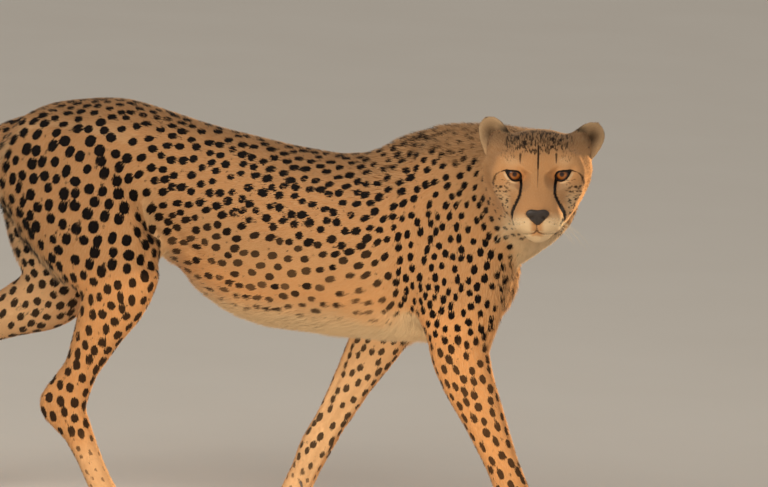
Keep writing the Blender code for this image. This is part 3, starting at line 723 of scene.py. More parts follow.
nape = belongs(smoothstep(0.25, 0.75, outwards[:, 2]) * share("neck", "trunk"),
               (points[:, 0], neck_start - 0.13, neck_start - 0.02))
belly = smoothstep(0.30, 0.80, -outwards[:, 2]) * share("trunk", "thigh", "upper_arm")
thigh_back = belongs(share("thigh"), (-outwards[:, 0], 0.3, 0.8))
chest = belongs(share("neck", "trunk", "upper_arm"), (outwards[:, 0], 0.2, 0.7), (points[:, 2], 0.55, 0.45))
cheek = belongs(share("head", "neck"), (aside, 0.045, 0.070), (h[:, 2], 0.02, -0.02),
                (h[:, 0], -0.075, -0.04), (h[:, 0], -0.012, -0.032))
elbow_side = belongs(share("trunk"), (points[:, 0], neck_start - 0.16, neck_start - 0.09),
                     (points[:, 2], 0.46, 0.40))
tail_end = belongs(share("tail"), (points[:, 0], tail_tip[1].x, tail_tip[0].x))
ruff = belongs(share("head", "neck"), (aside, 0.050, 0.066), (h[:, 2], 0.035, 0.005),
               (h[:, 0], -0.085, -0.070), (h[:, 0], -0.005, -0.025))
face = belongs(share("head"), (h[:, 0], -0.035, 0.0))
muzzle = belongs(share("head"), (h[:, 0], 0.020, 0.045))
for amount, deeper, longer, lifted in (
    (nape, 0.0050, 0.008, 0.24), (belly, 0.0035, 0.014, 0.30), (thigh_back, 0.0035, 0.010, 0.15),
    (chest, 0.0020, 0.006, 0.15), (cheek, 0.0030, 0.008, 0.25), (elbow_side, 0.0010, 0.010, 0.05),
    (ruff * (h[:, 1] < 0), 0.0, 0.008, 0.50), (tail_end, 0.0030, 0.010, 0.10),
    (face, -0.0004, -0.002, -0.02), (muzzle, -0.0004, -0.0015, -0.02),
):
    depth, length, upright = depth + amount * deeper, length + amount * longer, upright + amount * lifted
up_nose, across_nose = on_leather(h)
on_nose_skin = (h[:, 0] > NOSE_STARTS) * smoothstep(1.18, 1.00, across_nose)
on_nose_skin = on_nose_skin * (up_nose > 0.02) * (up_nose < 0.99)
near_eye = outside_both(points)
depth *= smoothstep(0.004, 0.014, near_eye)
length *= 0.45 + 0.55 * smoothstep(0.003, 0.016, near_eye)
depth *= smoothstep(0.0, 0.012, points[:, 2])
print("coat depth", round(depth.min(), 4), "to", round(depth.max(), 4))

# %% Draw the skin in by the depth of the coat
DEPTH_ROUNDS = 4


def blurred(values, rounds):
    """One value per point, eased towards those next to it."""
    for step in range(rounds):
        values = 0.5 * values + 0.5 * neighbours.mean(values[:, None])[:, 0]
    return values


depth = blurred(depth, DEPTH_ROUNDS)
points = points - outwards * depth[:, None]
move_to(skin_mesh, points)
outwards = normals(skin_mesh)

# %% [markdown]
# ## The lie of the coat
# Hair runs from the nose back over the head, along the back to the tail, and down the legs.
# Each region starts with one direction. Blurring those directions over the skin, and keeping
# them flat on it, gives the natural flow between them.

# %% Which way the hair lies
def towards(start, end):
    return np.array((middle(end) - middle(start)).normalized())


FLOW_ROUNDS, FROM_LIDS = 30, 2.5
NOSE_TIP = (0.052, 0, -0.050)  # in the head's own directions
NEXT_DOWN = {"upper_arm": ("forearm_", (-0.25, 0, 0)), "forearm": ("paw_", (0, 0, 0)),
             "thigh": ("shank_", (-0.45, 0, -0.1)), "shank": ("paw_", (0, 0, 0))}
ALONG_BODY = {
    "neck": towards("head", "trunk") + (0, 0, -0.8), "trunk": np.array((-1.0, 0, -0.30)),
    "paw": np.array((0.55, 0, -0.5)), "tail_root": towards("tail_root", "tail_middle"),
    "tail_middle": towards("tail_root", "tail_tip"), "tail_tip": towards("tail_middle", "tail_tip"),
}


def lie_of(name):
    """Which way the hair of a solid lies, or None for the head and ears."""
    side = "_".join(name.split("_")[-2:])
    kind = name.replace("_" + side, "")
    if kind in NEXT_DOWN:
        lower, more = NEXT_DOWN[kind]
        return towards(name, lower + side) + more
    return ALONG_BODY.get(kind)


flow = np.zeros_like(points)
for name in FLESH:
    lie = lie_of(name)
    if lie is not None:
        low, high = (np.array(c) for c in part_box(name))
        gap = np.maximum(np.maximum(low - points, points - high), 0).sum(1)
        flow[(owner == region_of(name)) & (gap < 0.004)] = unit(lie)
from_nose = points - (HEAD_PLACE + HEAD_AXES @ NOSE_TIP)
on_head = owner == REGIONS.index("head")
flow[on_head] = unit(from_nose)[on_head]
on_ear = owner == REGIONS.index("ear")
flow[on_ear] = (HEAD_AXES @ (0, 0, 1.0)) + HEAD_AXES[:, 1] * np.sign(h[on_ear, 1:2]) * 0.5


def lay_flat(vectors):
    return unit(vectors - (vectors * outwards).sum(1)[:, None] * outwards)


flow = lay_flat(flow)
for step in range(FLOW_ROUNDS):
    flow = lay_flat(0.35 * flow + 0.65 * neighbours.mean(flow))
for eye in EYES:  # hair lies away from the rims of the lids
    close = (1 - smoothstep(0.002, 0.013, eye.outside(points))) * (eye.flat(points)[2] > 0)
    middle_of_opening = eye.centre + eye.gaze * EYE_RADIUS
    flow = lay_flat(flow + FROM_LIDS * close[:, None] * unit(points - middle_of_opening))
print("hair laid over", len(flow), "points")

# %% [markdown]
# ## Spots
# A cheetah's spots are solid and round, evenly scattered but never in a grid. Darts are thrown
# at the skin, and one is kept only if no kept one lies within the spacing of its region. Each
# spot is then an oval lying along the hair.

# %% Spacing and size of the spots in each region
SPOTS = {  # spacing, half length and half width in metres, and how black
    "head": (0.0100, 0.0028, 0.0023, 0.8), "ear": (0.0150, 0.0018, 0.0014, 0.0),
    "neck": (0.0134, 0.0061, 0.0050, 1.0), "trunk": (0.0146, 0.0070, 0.0060, 1.0),
    "tail": (0.0250, 0.0088, 0.0078, 1.0), "upper_arm": (0.0138, 0.0064, 0.0051, 1.0),
    "forearm": (0.0150, 0.0072, 0.0050, 0.9), "paw_front": (0.0125, 0.0036, 0.0026, 0.6),
    "thigh": (0.0182, 0.0086, 0.0077, 1.0), "shank": (0.0170, 0.0080, 0.0062, 0.95),
    "paw_hind": (0.0125, 0.0036, 0.0026, 0.6),
}
spacing, long_way, wide_way, black = fields(SPOTS)

triangles = np.array([p.vertices for p in skin_mesh.polygons])
first, second, third = (points[triangles[:, i]] for i in range(3))
face_areas = np.linalg.norm(np.cross(second - first, third - first), axis=1) / 2
print("skin area", round(face_areas.sum(), 3), "square metres")


def scatter(count, weights):
    """Points on the skin: their triangles, and how much of each corner they take."""
    reach = np.cumsum(face_areas * weights)
    spread = (np.arange(count) + chance.random(count)) / count * reach[-1]
    face = np.minimum(np.searchsorted(reach, spread), len(reach) - 1)
    a, b = chance.random(count), chance.random(count)
    over = a + b > 1
    a, b = np.where(over, 1 - a, a), np.where(over, 1 - b, b)
    return face, np.stack([1 - a - b, a, b], 1)


def read(values, face, corner_share):
    """A value of the skin's points, read inside triangles."""
    picked = values[triangles[face]]
    if picked.ndim == 2:
        return (picked * corner_share).sum(1)
    return (picked * corner_share[:, :, None]).sum(1)


def well_spaced(places, gaps, order):
    """The places that are kept when each must be its own gap away from those kept before."""
    cell = float(gaps.max())
    around = list(itertools.product((-1, 0, 1), repeat=3))
    kept, grid = [], {}
    for i in order:
        p, gap = places[i], gaps[i]
        key = tuple(int(math.floor(c / cell)) for c in p)
        close = any(
            (x - p[0]) ** 2 + (y - p[1]) ** 2 + (z - p[2]) ** 2 < gap * gap
            for a, b, c in around for x, y, z in grid.get((key[0] + a, key[1] + b, key[2] + c), ()))
        if not close:
            kept.append(i)
            grid.setdefault(key, []).append(tuple(p))
    return np.array(kept)


def tree_of(places):
    tree = KDTree(len(places))
    for i, place in enumerate(places):
        tree.insert(place, i)
    tree.balance()
    return tree


# %% Throw the darts
DARTS, FAINT_DARTS = 70000, 9000
spotted = black > 0.35
low_down = belongs(share("trunk"), (points[:, 2], 0.50, 0.40))
spacing = spacing * (1 + 0.20 * low_down)
face, inside_face = scatter(DARTS, spotted[triangles].all(1) * 1.0)
darts, dart_gaps = read(points, face, inside_face), read(spacing, face, inside_face)
dart_gaps = dart_gaps * chance.uniform(0.86, 1.14, len(darts))
kept = well_spaced(darts, dart_gaps, chance.permutation(len(darts)))
first_tree = tree_of(darts[kept])
tried = chance.permutation(len(darts))[:FAINT_DARTS]
between = np.array([i for i in tried if first_tree.find(darts[i])[2] > 0.66 * dart_gaps[i]])
between = between[well_spaced(darts[between], dart_gaps[between], np.arange(len(between)))]
kept = np.concatenate([kept, between])
small = np.arange(len(kept)) >= len(kept) - len(between)
face, inside_face = face[kept], inside_face[kept]
spot_place, spot_out = darts[kept], unit(read(outwards, face, inside_face))
spot_flow = unit(read(flow, face, inside_face))
spot_across = np.cross(spot_out, spot_flow)
stretch = read(low_down, face, inside_face)
vary = chance.uniform(0.82, 1.14, (len(kept), 2))
spot_long = read(long_way, face, inside_face) * vary[:, 0] * np.where(small, 0.36, 1 + 0.15 * stretch)
spot_wide = read(wide_way, face, inside_face) * vary[:, 1] * np.where(small, 0.38, 1 - 0.12 * stretch)
faint = chance.uniform(0.55, 0.90, len(kept))
spot_black = np.where(small, faint, 1 - stretch * chance.uniform(0.0, 0.22, len(kept)))
spot_tree = tree_of(spot_place)
print(len(kept), "spots, of them", len(between), "small and faint")


# %% How far any point is outside the nearest spot, and how black that spot is
ROUNDNESS, SPOT_DEEP = 2.3, 0.016  # 2 would be an ellipse; a spot doesn't show through a thin part


def outside_spots(places, nearest=3):
    picked = np.array([[i for _, i, _ in spot_tree.find_n(p, nearest)] for p in places])
    away = places[:, None, :] - spot_place[picked]
    along = (away * spot_flow[picked]).sum(2) / spot_long[picked]
    across = (away * spot_across[picked]).sum(2) / spot_wide[picked]
    through = (away * spot_out[picked]).sum(2)
    size = np.sqrt(spot_long * spot_wide)[picked]
    round_off = (np.abs(along) ** ROUNDNESS + np.abs(across) ** ROUNDNESS) ** (1 / ROUNDNESS)
    distance = np.where(np.abs(through) < SPOT_DEEP, round_off - 1, 2.0) * size
    nearest = distance.argmin(1)
    rows = np.arange(len(places))
    return distance[rows, nearest], spot_black[picked[rows, nearest]]


# %% [markdown]
# ## All the markings as a few numbers
# `ink` is the distance outside the nearest black mark in millimetres, `black` how dark that
# mark is, `pale` where the coat turns cream, `warm` where it is golden and `grey` where dark
# hairs tick it. The skin and every tuft carry the same five numbers, and one group of shader
# nodes turns them into colour.

# %% Laying a mark on the skin
skin_tree = BVHTree.FromPolygons([tuple(p) for p in points], triangles.tolist())
SIGHT = Vector(HEAD_AXES @ np.array((1.0, -SEEN_SIDE, SEEN_DOWN)))
REACH_BACK = 0.0035  # how far along its depth a mark seen from in front may run
START_AHEAD = 0.25  # where a ray back to the face begins
DEPTH_BREAK = 0.012  # a line that leaps this far back or forth is broken there


def laid(stops):
    """Where lines seen from in front meet the skin, in the head's own directions."""
    found = []
    for u, v in stops:
        start = Vector((START_AHEAD, u - START_AHEAD * SEEN_SIDE, v + START_AHEAD * SEEN_DOWN))
        hit = skin_tree.ray_cast(HEAD @ start, -SIGHT)[0]
        if hit is not None:
            found.append(in_head([hit])[0])
        else:
            found.append(found[-1] if found else np.array((-1.0, u, v)))
    return np.array(found)


class Mark:
    """A line on both cheeks, kept from running back along the sides of the face."""

    def __init__(self, stops, widths):
        self.stops, self.widths = np.array(stops), np.array(widths)
        self.on_skin = []
        for side in (1, -1):
            line = laid(self.stops * (side, 1))
            breaks = np.nonzero(np.abs(np.diff(line[:, 0])) > DEPTH_BREAK)[0] + 1
            self.on_skin += zip(np.split(line, breaks), np.split(self.widths, breaks))

    def outside(self, two, h):
        seen_distance = line_distance(two, self.stops, self.widths)
        true_distance = np.min([line_distance(h, *piece) for piece in self.on_skin], axis=0)
        return np.maximum(seen_distance, true_distance - REACH_BACK)


# %% Marks of the face
FOREHEAD_LINE = [(0.0, 0.036), (0.0, 0.016), (0.0, 0.004)]
BRIDGE_LINE = [(0.0, 0.006), (0.0, -0.008), (0.0, -0.021)]
BROW_STRIPE = [(0.0250, 0.025), (0.0252, 0.012)]
TEMPLE_LINE = curve([
    (0.0535, 0.0002), (0.0600, -0.0050), (0.0640, -0.0220), (0.0645, -0.0400), (0.0610, -0.0540)])
OUTER_CORNER = [(0.0440, 0.0024), (0.0485, 0.0018), (0.0545, -0.0002)]
CROWN_BLOTS = np.array([  # place and half sizes
    (-0.0193, 0.0400, 0.0026, 0.0080), (0.0196, 0.0455, 0.0026, 0.0038), (0.0190, 0.0350, 0.0030, 0.0022),
    (-0.0290, 0.0470, 0.0022, 0.0050), (0.0300, 0.0440, 0.0020, 0.0044)])
CROWN_TOP, CROWN_REACH, CROWN_RISE = 0.068, 0.046, 0.30  # its marks reach lowest in the middle
EYE_RIM = 0.0021
FAR_OFF = 0.05  # stands for "no mark near"


def flecks(count, low, high, sizes):
    """Small marks strewn over a part of the face: their places and half sizes."""
    where = chance.uniform(low, high, (count, 2))
    return where, chance.uniform(*sizes, (count, 2))


def placed(where, half):
    """Marks with the depth at which each lies on the skin."""
    return where, half, laid(where)[:, 0]


strewn, half_sizes = flecks(
    640, (-CROWN_REACH, 0.0), (CROWN_REACH, 1.0), ((0.0006, 0.0011), (0.0012, 0.0030)))
strewn[:, 1] = CROWN_TOP - (CROWN_REACH - CROWN_RISE * np.abs(strewn[:, 0])) * strewn[:, 1] ** 1.4
crown_marks, crown_blots = placed(strewn, half_sizes), placed(CROWN_BLOTS[:, :2], CROWN_BLOTS[:, 2:])
temple_marks, cheek_marks, upper_cheek, pad_marks = (placed(*flecks(*spread)) for spread in (
    (40, (0.032, 0.014), (0.052, 0.046), ((0.0005, 0.0010), (0.0010, 0.0026))),
    (84, (0.042, -0.066), (0.074, -0.018), ((0.0010, 0.0009), (0.0024, 0.0018))),
    (24, (0.038, -0.034), (0.060, -0.010), ((0.0014, 0.0006), (0.0032, 0.0010))),
    (16, (0.014, -0.074), (0.032, -0.062), ((0.0005, 0.0005), (0.0009, 0.0008)))))


def outside_flecks(uv, h, marks):
    best = np.full(len(uv), FAR_OFF)
    for place, reach, depth_of in zip(*marks):
        away = (np.linalg.norm((uv - place) / reach, axis=1) - 1) * reach.min()
        best = np.minimum(best, np.maximum(away, np.abs(h[:, 0] - depth_of) - REACH_BACK))
    return best


TEARS = Mark(TEAR_LINE, TEAR_WIDTHS)
TEMPLE_WIDTHS = np.interp(np.linspace(0, 1, len(TEMPLE_LINE)), (0, 0.3, 1), (0.0012, 0.0030, 0.0012))
TEMPLES = Mark(TEMPLE_LINE, TEMPLE_WIDTHS)
MOUTH = Mark(MOUTH_LINE, np.linspace(0.0020, 0.0004, len(MOUTH_LINE)))


def face_marks(places, h, uv):
    """Distance outside the marks of the face, and how black the nearest is."""
    two = both_sides(uv)
    eye_rim = np.minimum.reduce([
        np.where(eye.flat(places)[2] > 0, np.abs(eye.outside(places)), 1.0) for eye in EYES])
    marks = [
        (TEARS.outside(two, h), 1.0),
        (line_distance(uv, FOREHEAD_LINE, (0.0030, 0.0030, 0.0022)), 0.95),
        (line_distance(uv, BRIDGE_LINE, (0.0022, 0.0017, 0.0006)), 0.55),
        (line_distance(two, BROW_STRIPE, (0.0036, 0.0012)), 0.8),
        (TEMPLES.outside(two, h), 0.85),
        (line_distance(two, OUTER_CORNER, (0.0034, 0.0018, 0.0008)), 0.9),
        (MOUTH.outside(two, h), 0.7),
        (line_distance(two, LIP_GROOVE, (0.0012, 0.0014)), 0.65),
        (eye_rim - EYE_RIM, 1.0),
    ]
    marks += [(outside_flecks(on, h, strewn), strength) for on, strewn, strength in (
        (uv, crown_marks, 0.88), (uv, crown_blots, 0.95), (two, temple_marks, 0.5), (uv, cheek_marks, 0.9),
        (uv * (-1, 1), cheek_marks, 0.9), (two, upper_cheek, 0.5), (two, pad_marks, 0.7))]
    distance = np.stack([d for d, _ in marks])
    nearest = distance.argmin(0)
    return distance.min(0), np.array([b for _, b in marks])[nearest]


# %% Where a point is on an ear
EAR_TALL, EAR_HALF = 0.060, 0.022


class Ear:
    def __init__(self, side, lean):
        self.side = side
        self.foot = np.array((-0.050, side * 0.050, 0.020))
        self.rise = unit(np.array((-0.12, side * lean, 0.90)))
        face = np.array((0.93, side * 0.36, 0.02))
        self.face = unit(face - self.rise * (face @ self.rise))
        self.outwards = side * np.cross(self.rise, self.face)

    def flat(self, places, out):
        """How far up the ear and how far out across it, as shares, and how much a point faces its hollow."""
        away = in_head(places) - self.foot
        return away @ self.rise / EAR_TALL, away @ self.outwards / EAR_HALF, (out @ HEAD_AXES) @ self.face


EARS = [Ear(1, 0.80), Ear(-1, 0.45)]


# %% Markings at any places
BEHIND_FACE, TIP_RINGS, RING_HALF = -0.045, 4.0, 0.014


def mark_ears(h, ear_part, places, out, ink, darkness, pale):
    """In front pale edges, a hollow darkened brown by painted shade, and painted shade near black where it
    meets the crown. Behind, a black patch.
    """
    for ear in EARS:
        along, side_of, facing = ear.flat(places, out)
        mine = smoothstep(0.25, 0.60, ear_part) * (np.sign(h[:, 1]) == ear.side)
        inner = smoothstep(-0.1, 0.3, facing) * mine
        # painted shade: the hollow turns brown, and the base by the crown near black
        hollow = np.exp(-(((along - 0.52) / 0.26) ** 2 + ((side_of - 0.10) / 0.50) ** 2))
        painted_ear_base_shade = smoothstep(0.78, 0.46, along) * smoothstep(0.15, -0.40, side_of)
        patch = belongs(smoothstep(-0.10, -0.40, facing) * mine, (along, 0.10, 0.25), (along, 0.86, 0.70))
        ink = np.where(mine > 0.3, -0.001, ink)
        darkness = np.where(mine > 0.5, 0, darkness)
        darkness = np.maximum(darkness, np.maximum(0.86 * hollow, 0.95 * painted_ear_base_shade) * inner)
        darkness = np.maximum(darkness, 0.85 * patch)
        pale = np.maximum(pale, 0.45 * inner * (1 - hollow))
    return ink, darkness, pale


def mark_tail(tail_part, places, ink, darkness, pale):
    """Rings on the end of the tail, and its white tip."""
    long_way = tail_tip[1].x - tail_tip[0].x
    along = (tail_tip[1].x - places[:, 0]) / long_way
    rings = np.abs(np.mod(along * TIP_RINGS + 0.12, 1.0) - 0.5) / TIP_RINGS * long_way - RING_HALF
    rings = np.where(along > 0.93, 0.02, rings)
    on_tip = tail_part * smoothstep(-0.12, 0.0, along)
    ink = ink * (1 - on_tip) + rings * on_tip
    return ink, np.maximum(darkness, on_tip), np.maximum(pale, on_tip * smoothstep(0.88, 0.95, along))


def pale_of_face(places, two, h):
    """The cream round the eyes, on the cheeks and on the lower face."""
    from_eye = np.minimum.reduce([eye.outside(places) for eye in EYES])
    below_eye = belongs(np.exp(-(((from_eye - 0.0036) / 0.0018) ** 2)),
                        (two[:, 1], 0.003, -0.005), (two[:, 0], 0.024, 0.034))
    lower_face = smoothstep(-0.052, -0.072, two[:, 1]) * smoothstep(0.004, 0.012, two[:, 0])
    lower_face = np.maximum(lower_face, smoothstep(-0.086, -0.094, two[:, 1]))
    cheeks = 0.75 * smoothstep(0.034, 0.046, two[:, 0]) * smoothstep(-0.012, -0.045, two[:, 1])
    beside_eye = 0.30 * swell(two, (0.037, 0.014), (0.013, 0.007))
    on_cheek = 0.35 * swell(two, (0.036, -0.018), (0.010, 0.008))
    cream = np.maximum.reduce([0.8 * below_eye, beside_eye, on_cheek, lower_face, cheeks])
    return cream * smoothstep(-0.03, 0.0, h[:, 0])


def markings(places, out, picked_region, h, uv):
    """ink in millimetres, black, pale, warm and grey, all at the given places."""
    def of(*names):
        return sum(picked_region[:, REGIONS.index(n)] for n in names)

    two, high = both_sides(uv), places[:, 2]
    head_part = of("head", "ear")
    # how dark the spots are, and where the coat is pale
    ink, strength = outside_spots(places)
    darkness = np.clip(picked_region @ np.array([SPOTS[n][3] for n in REGIONS]), 0, 1) * strength
    under = smoothstep(0.40, 0.85, -out[:, 2])
    inner = smoothstep(0.10, 0.75, -out[:, 1] * np.sign(places[:, 1] - body_middle.y))
    legs = of("forearm", "shank", "paw_front", "paw_hind", "upper_arm", "thigh")
    pale = np.clip(under * of("trunk", "neck", "thigh", "upper_arm", "tail") + 0.50 * inner * legs, 0, 1)
    pale = np.maximum(pale, 0.35 * of("paw_front", "paw_hind"))
    darkness = darkness * (1 - 0.92 * smoothstep(0.55, 0.90, pale))
    ink = ink + 0.0012 * smoothstep(0.3, 0.8, pale)
    # the face keeps its own marks, and behind it the spots go on
    rows = np.nonzero(head_part > 0.02)[0]
    on_front = h[rows, 0] > BEHIND_FACE
    near, strength = face_marks(places[rows], h[rows], uv[rows])
    near = np.where(on_front, near, FAR_OFF)
    face_part = smoothstep(0.35, 0.65, head_part[rows]) * on_front
    swap = (near < ink[rows]) | (face_part > 0.5)
    ink[rows] = np.where(swap, near, ink[rows])
    darkness[rows] = np.where(swap, strength, darkness[rows] * (1 - face_part))
    throat = smoothstep(0.1, 0.7, under) * (h[:, 2] < -0.05)
    pale = pale * (1 - head_part) + head_part * np.maximum(pale_of_face(places, two, h), throat)
    # gold low on the body and beside the nose, dark ticking on the back and crown
    warm = 0.35 * swell(two, (0.014, 0.008), (0.016, 0.022)) * head_part * (h[:, 0] > 0)
    warm = warm + 0.9 * (of("trunk", "neck") * smoothstep(0.47, 0.36, high))
    warm = warm + 0.8 * of("forearm", "shank", "paw_front", "paw_hind")
    warm = np.clip(warm + of("upper_arm", "thigh") * smoothstep(0.42, 0.34, high), 0, 1)
    grey = smoothstep(0.45, 0.95, out[:, 2]) * of("trunk", "neck", "thigh") * 0.45
    grey = np.maximum(grey, head_part * smoothstep(0.024, 0.046, two[:, 1]))
    ink, darkness, pale = mark_ears(h, of("ear"), places, out, ink, darkness, pale)
    ink, darkness, pale = mark_tail(of("tail"), places, ink, darkness, pale)
    return {"ink": ink * 1000, "black": darkness, "pale": pale, "warm": warm, "grey": grey}


skin_marks = markings(points, outwards, region, h, uv)


def store(mesh, name, values, kind="FLOAT"):
    made = mesh.attributes.new(name, kind, "POINT")
    key = "vector" if kind == "FLOAT_VECTOR" else "value"
    made.data.foreach_set(key, np.ascontiguousarray(values, np.float32).ravel())


for name, values in skin_marks.items():
    store(skin_mesh, name, values)
print({name: (round(float(v.min()), 2), round(float(v.max()), 2)) for name, v in skin_marks.items()})

# %% [markdown]
# ## Colour of the coat
# One node group is shared by the skin and the tufts. It roughens the edge of each mark with
# fine noise, because hairs cross it, and mottles the tan.

# %% The group of nodes that colours skin and coat alike
coat_group = bpy.data.node_groups.new("cheetah_markings", "ShaderNodeTree")
for name, start in (
        ("Tan", rgb(196, 142, 92)), ("Cream", rgb(232, 200, 156)), ("Golden", rgb(228, 160, 98)),
        ("Ticked", rgb(140, 102, 68)), ("Black", rgb(20, 14, 11)), ("Ragged", 1.1), ("Mottle", 0.16)):
    kind = "NodeSocketFloat" if isinstance(start, float) else "NodeSocketColor"
    coat_group.interface.new_socket(name, in_out="INPUT", socket_type=kind).default_value = start
for name, kind in (("Colour", "NodeSocketColor"), ("Mark", "NodeSocketFloat"), ("Hair", "NodeSocketFloat")):
    coat_group.interface.new_socket(name, in_out="OUTPUT", socket_type=kind)
given = coat_group.nodes.new("NodeGroupInput").outputs
place = node(coat_group, "ShaderNodeTexCoord").outputs["Object"]
numbers = {n: attribute(coat_group, n) for n in skin_marks}
fine = noise(coat_group, place, 420.0, 3.0, 0.7)
broad = noise(coat_group, place, 22.0, 4.0)
shift = maths(coat_group, "MULTIPLY", maths(coat_group, "SUBTRACT", fine, 0.5), given["Ragged"])
edge = maths(coat_group, "ADD", numbers["ink"], shift)
mark = ranged(coat_group, edge, -0.45, 0.35, 1.0, 0.0, interpolation_type="SMOOTHSTEP")
mark = maths(coat_group, "MULTIPLY", mark, numbers["black"])
dull = maths(coat_group, "MULTIPLY", ranged(coat_group, broad, 0.3, 0.7), given["Mottle"])
coat_colour = given["Tan"]
for amount, over in ((numbers["grey"], "Ticked"), (numbers["warm"], "Golden"), (numbers["pale"], "Cream"),
                     (dull, "Ticked"), (mark, "Black")):
    coat_colour = mix(coat_group, amount, coat_colour, given[over])
result = coat_group.nodes.new("NodeGroupOutput").inputs
coat_group.links.new(coat_colour, result["Colour"])
coat_group.links.new(mark, result["Mark"])
coat_group.links.new(fine, result["Hair"])


def coat_material(name, roughness, ragged, sheen_roughness):
    """A soft matt material, its tree and shader, and the outputs of the shared group in it."""
    made, tree, shader, _ = material(
        name, roughness, Specular_IOR_Level=0.12, Sheen_Weight=0.04, Sheen_Roughness=sheen_roughness)
    colouring = tree.nodes.new("ShaderNodeGroup")
    colouring.node_tree = coat_group
    colouring.inputs["Ragged"].default_value = ragged
    return made, tree, shader, colouring.outputs


skin_look, tree, shader, coat = coat_material("skin_and_short_hair", 0.62, 1.3, 0.5)
tree.links.new(coat["Colour"], shader.inputs["Base Color"])
roughen(tree, shader, coat["Hair"], 0.25, 0.0008)
skin_mesh.materials.append(skin_look)
skin = new_object("skin", skin_mesh)
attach(skin, "root")
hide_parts(*FLESH)
print("skin coloured")

# %% [markdown]
# ## Eyes
# The iris fills almost the whole opening, amber with a darker rim, and the pupil is round and
# small in strong light. The ball bulges into a clear cornea, which a coat over the shader gives.
# A painted shadow of the upper lid darkens the top of the ball.

# %% Eyeballs
IRIS_RADIUS, CORNEA_BULGE, CORNEA_HALF = 0.0083, 0.0010, 0.0075
eye_look, tree, shader, _ = material(
    "amber_eye", 0.45, Specular_IOR_Level=0.1, Coat_Weight=1.0, Coat_Roughness=0.03)
parts = node(tree, "ShaderNodeSeparateXYZ", {"Vector": attribute(tree, "on_eye", "Vector")}).outputs
flat = node(tree, "ShaderNodeCombineXYZ", {"X": parts["X"], "Y": parts["Y"]}).outputs["Vector"]
from_middle = node(tree, "ShaderNodeVectorMath", {0: flat}, operation="LENGTH").outputs["Value"]
ray = node(tree, "ShaderNodeVectorMath", {0: flat}, operation="NORMALIZE").outputs["Vector"]
iris = node(tree, "ShaderNodeValToRGB", {"Fac": ranged(tree, from_middle, 0.0, IRIS_RADIUS)}).outputs["Color"]
ramp = iris.node.color_ramp
ramp.elements[0].position, ramp.elements[0].color = 0.0, rgb(8, 5, 4)
ramp.elements[1].position, ramp.elements[1].color = 1.0, rgb(46, 22, 10)
for at, tone in ((0.29, (9, 5, 4)), (0.36, (104, 56, 20)), (0.55, (178, 108, 44)), (0.80, (140, 80, 32)),
                 (0.92, (70, 34, 15))):
    ramp.elements.new(at).color = rgb(*tone)
streaks = ranged(tree, noise(tree, ray, 9.0, 4.0), 0.35, 0.75, 0.0, 0.55)
iris = mix(tree, streaks, iris, rgb(92, 46, 16))
iris = mix(tree, ranged(tree, from_middle, IRIS_RADIUS * 0.97, IRIS_RADIUS * 1.03), iris, rgb(34, 22, 16))
# painted shadow of the upper lid: the top of the ball darkens towards near black
painted_lid_shadow = ranged(tree, parts["Y"], -0.0004, 0.0046, 0.0, 0.75)
tree.links.new(mix(tree, painted_lid_shadow, iris, rgb(16, 9, 6)), shader.inputs["Base Color"])

for eye, name in zip(EYES, ("eye_left", "eye_right")):
    ball = bmesh.new()
    bmesh.ops.create_uvsphere(ball, u_segments=48, v_segments=40, radius=EYE_RADIUS)
    for v in ball.verts:
        away = math.hypot(v.co.x, v.co.y)
        if v.co.z > 0:
            v.co.z += CORNEA_BULGE * math.exp(-((away / CORNEA_HALF) ** 2))
    local = [tuple(v.co) for v in ball.verts]
    stand = Matrix([list(row) for row in np.stack([eye.left, eye.up, eye.gaze], 1)]).to_4x4()
    ball.transform(Matrix.Translation(eye.centre) @ stand)
    mesh = mesh_of(ball, name + "_ball")
    mesh.shade_smooth()
    store(mesh, "on_eye", local, "FLOAT_VECTOR")
    mesh.materials.append(eye_look)
    made = new_object(name + "_ball", mesh)
    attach(made, "root")
    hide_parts(name)
print("two eyeballs, iris", IRIS_RADIUS * 2000, "mm wide")


# %% [markdown]
# ## Rims, whiskers: tubes along a line
# A curve with a round bevel makes a tapered tube along any line. It is turned into a mesh at
# once, so that the finished piece is plain geometry.

# %% Tubes
def tubes(name, lines, radii, look, resolution=2, cyclic=False):
    curve_data = bpy.data.curves.new(name, "CURVE")
    curve_data.dimensions, curve_data.bevel_depth = "3D", 1.0
    curve_data.bevel_resolution, curve_data.use_fill_caps = resolution, True
    for line, thick in zip(lines, radii):
        spline = curve_data.splines.new("POLY")
        spline.points.add(len(line) - 1)
        spline.use_cyclic_u = cyclic
        for point, place, r in zip(spline.points, line, thick):
            point.co = (*place, 1)
            point.radius = r
    mesh = final_mesh(new_object(name, curve_data), name)
    mesh.shade_smooth()
    mesh.materials.clear()
    mesh.materials.append(look)
    made = new_object(name, mesh)
    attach(made, "root")
    return made


RIM, RIM_LIFT = 0.0007, 0.0009
rim_look = grained("black_lid_rim", 0.50, 900.0, 3.0, (11, 8, 7), (27, 19, 15), bump=(0.3, 0.0004),
                   Specular_IOR_Level=0.3, Coat_Weight=0.12, Coat_Roughness=0.25)
rim_lines = [[Vector(p) for p in eye.rim(RIM_LIFT)] for eye in EYES]
rims = tubes("lid_rims", rim_lines, [[RIM] * len(line) for line in rim_lines], rim_look, cyclic=True)
print("rims of", len(rims.data.polygons), "faces")

# %% [markdown]
# ## Nose leather
# The nose is bare, dark and finely pebbled, broad above and narrow below, with two nostrils
# that curl outwards. It starts as a round ball of small triangles that is pressed to shape.

# %% Nose
nose_middle = in_head([middle("nose")])[0]
NOSE_TOP, NOSE_FOOT, NOSE_DEEP = nose_middle[2] + 0.0100, nose_middle[2] - 0.0132, 0.0078


def dent(across, up, steepness):
    return math.exp(-(across * across + up * up) * steepness)


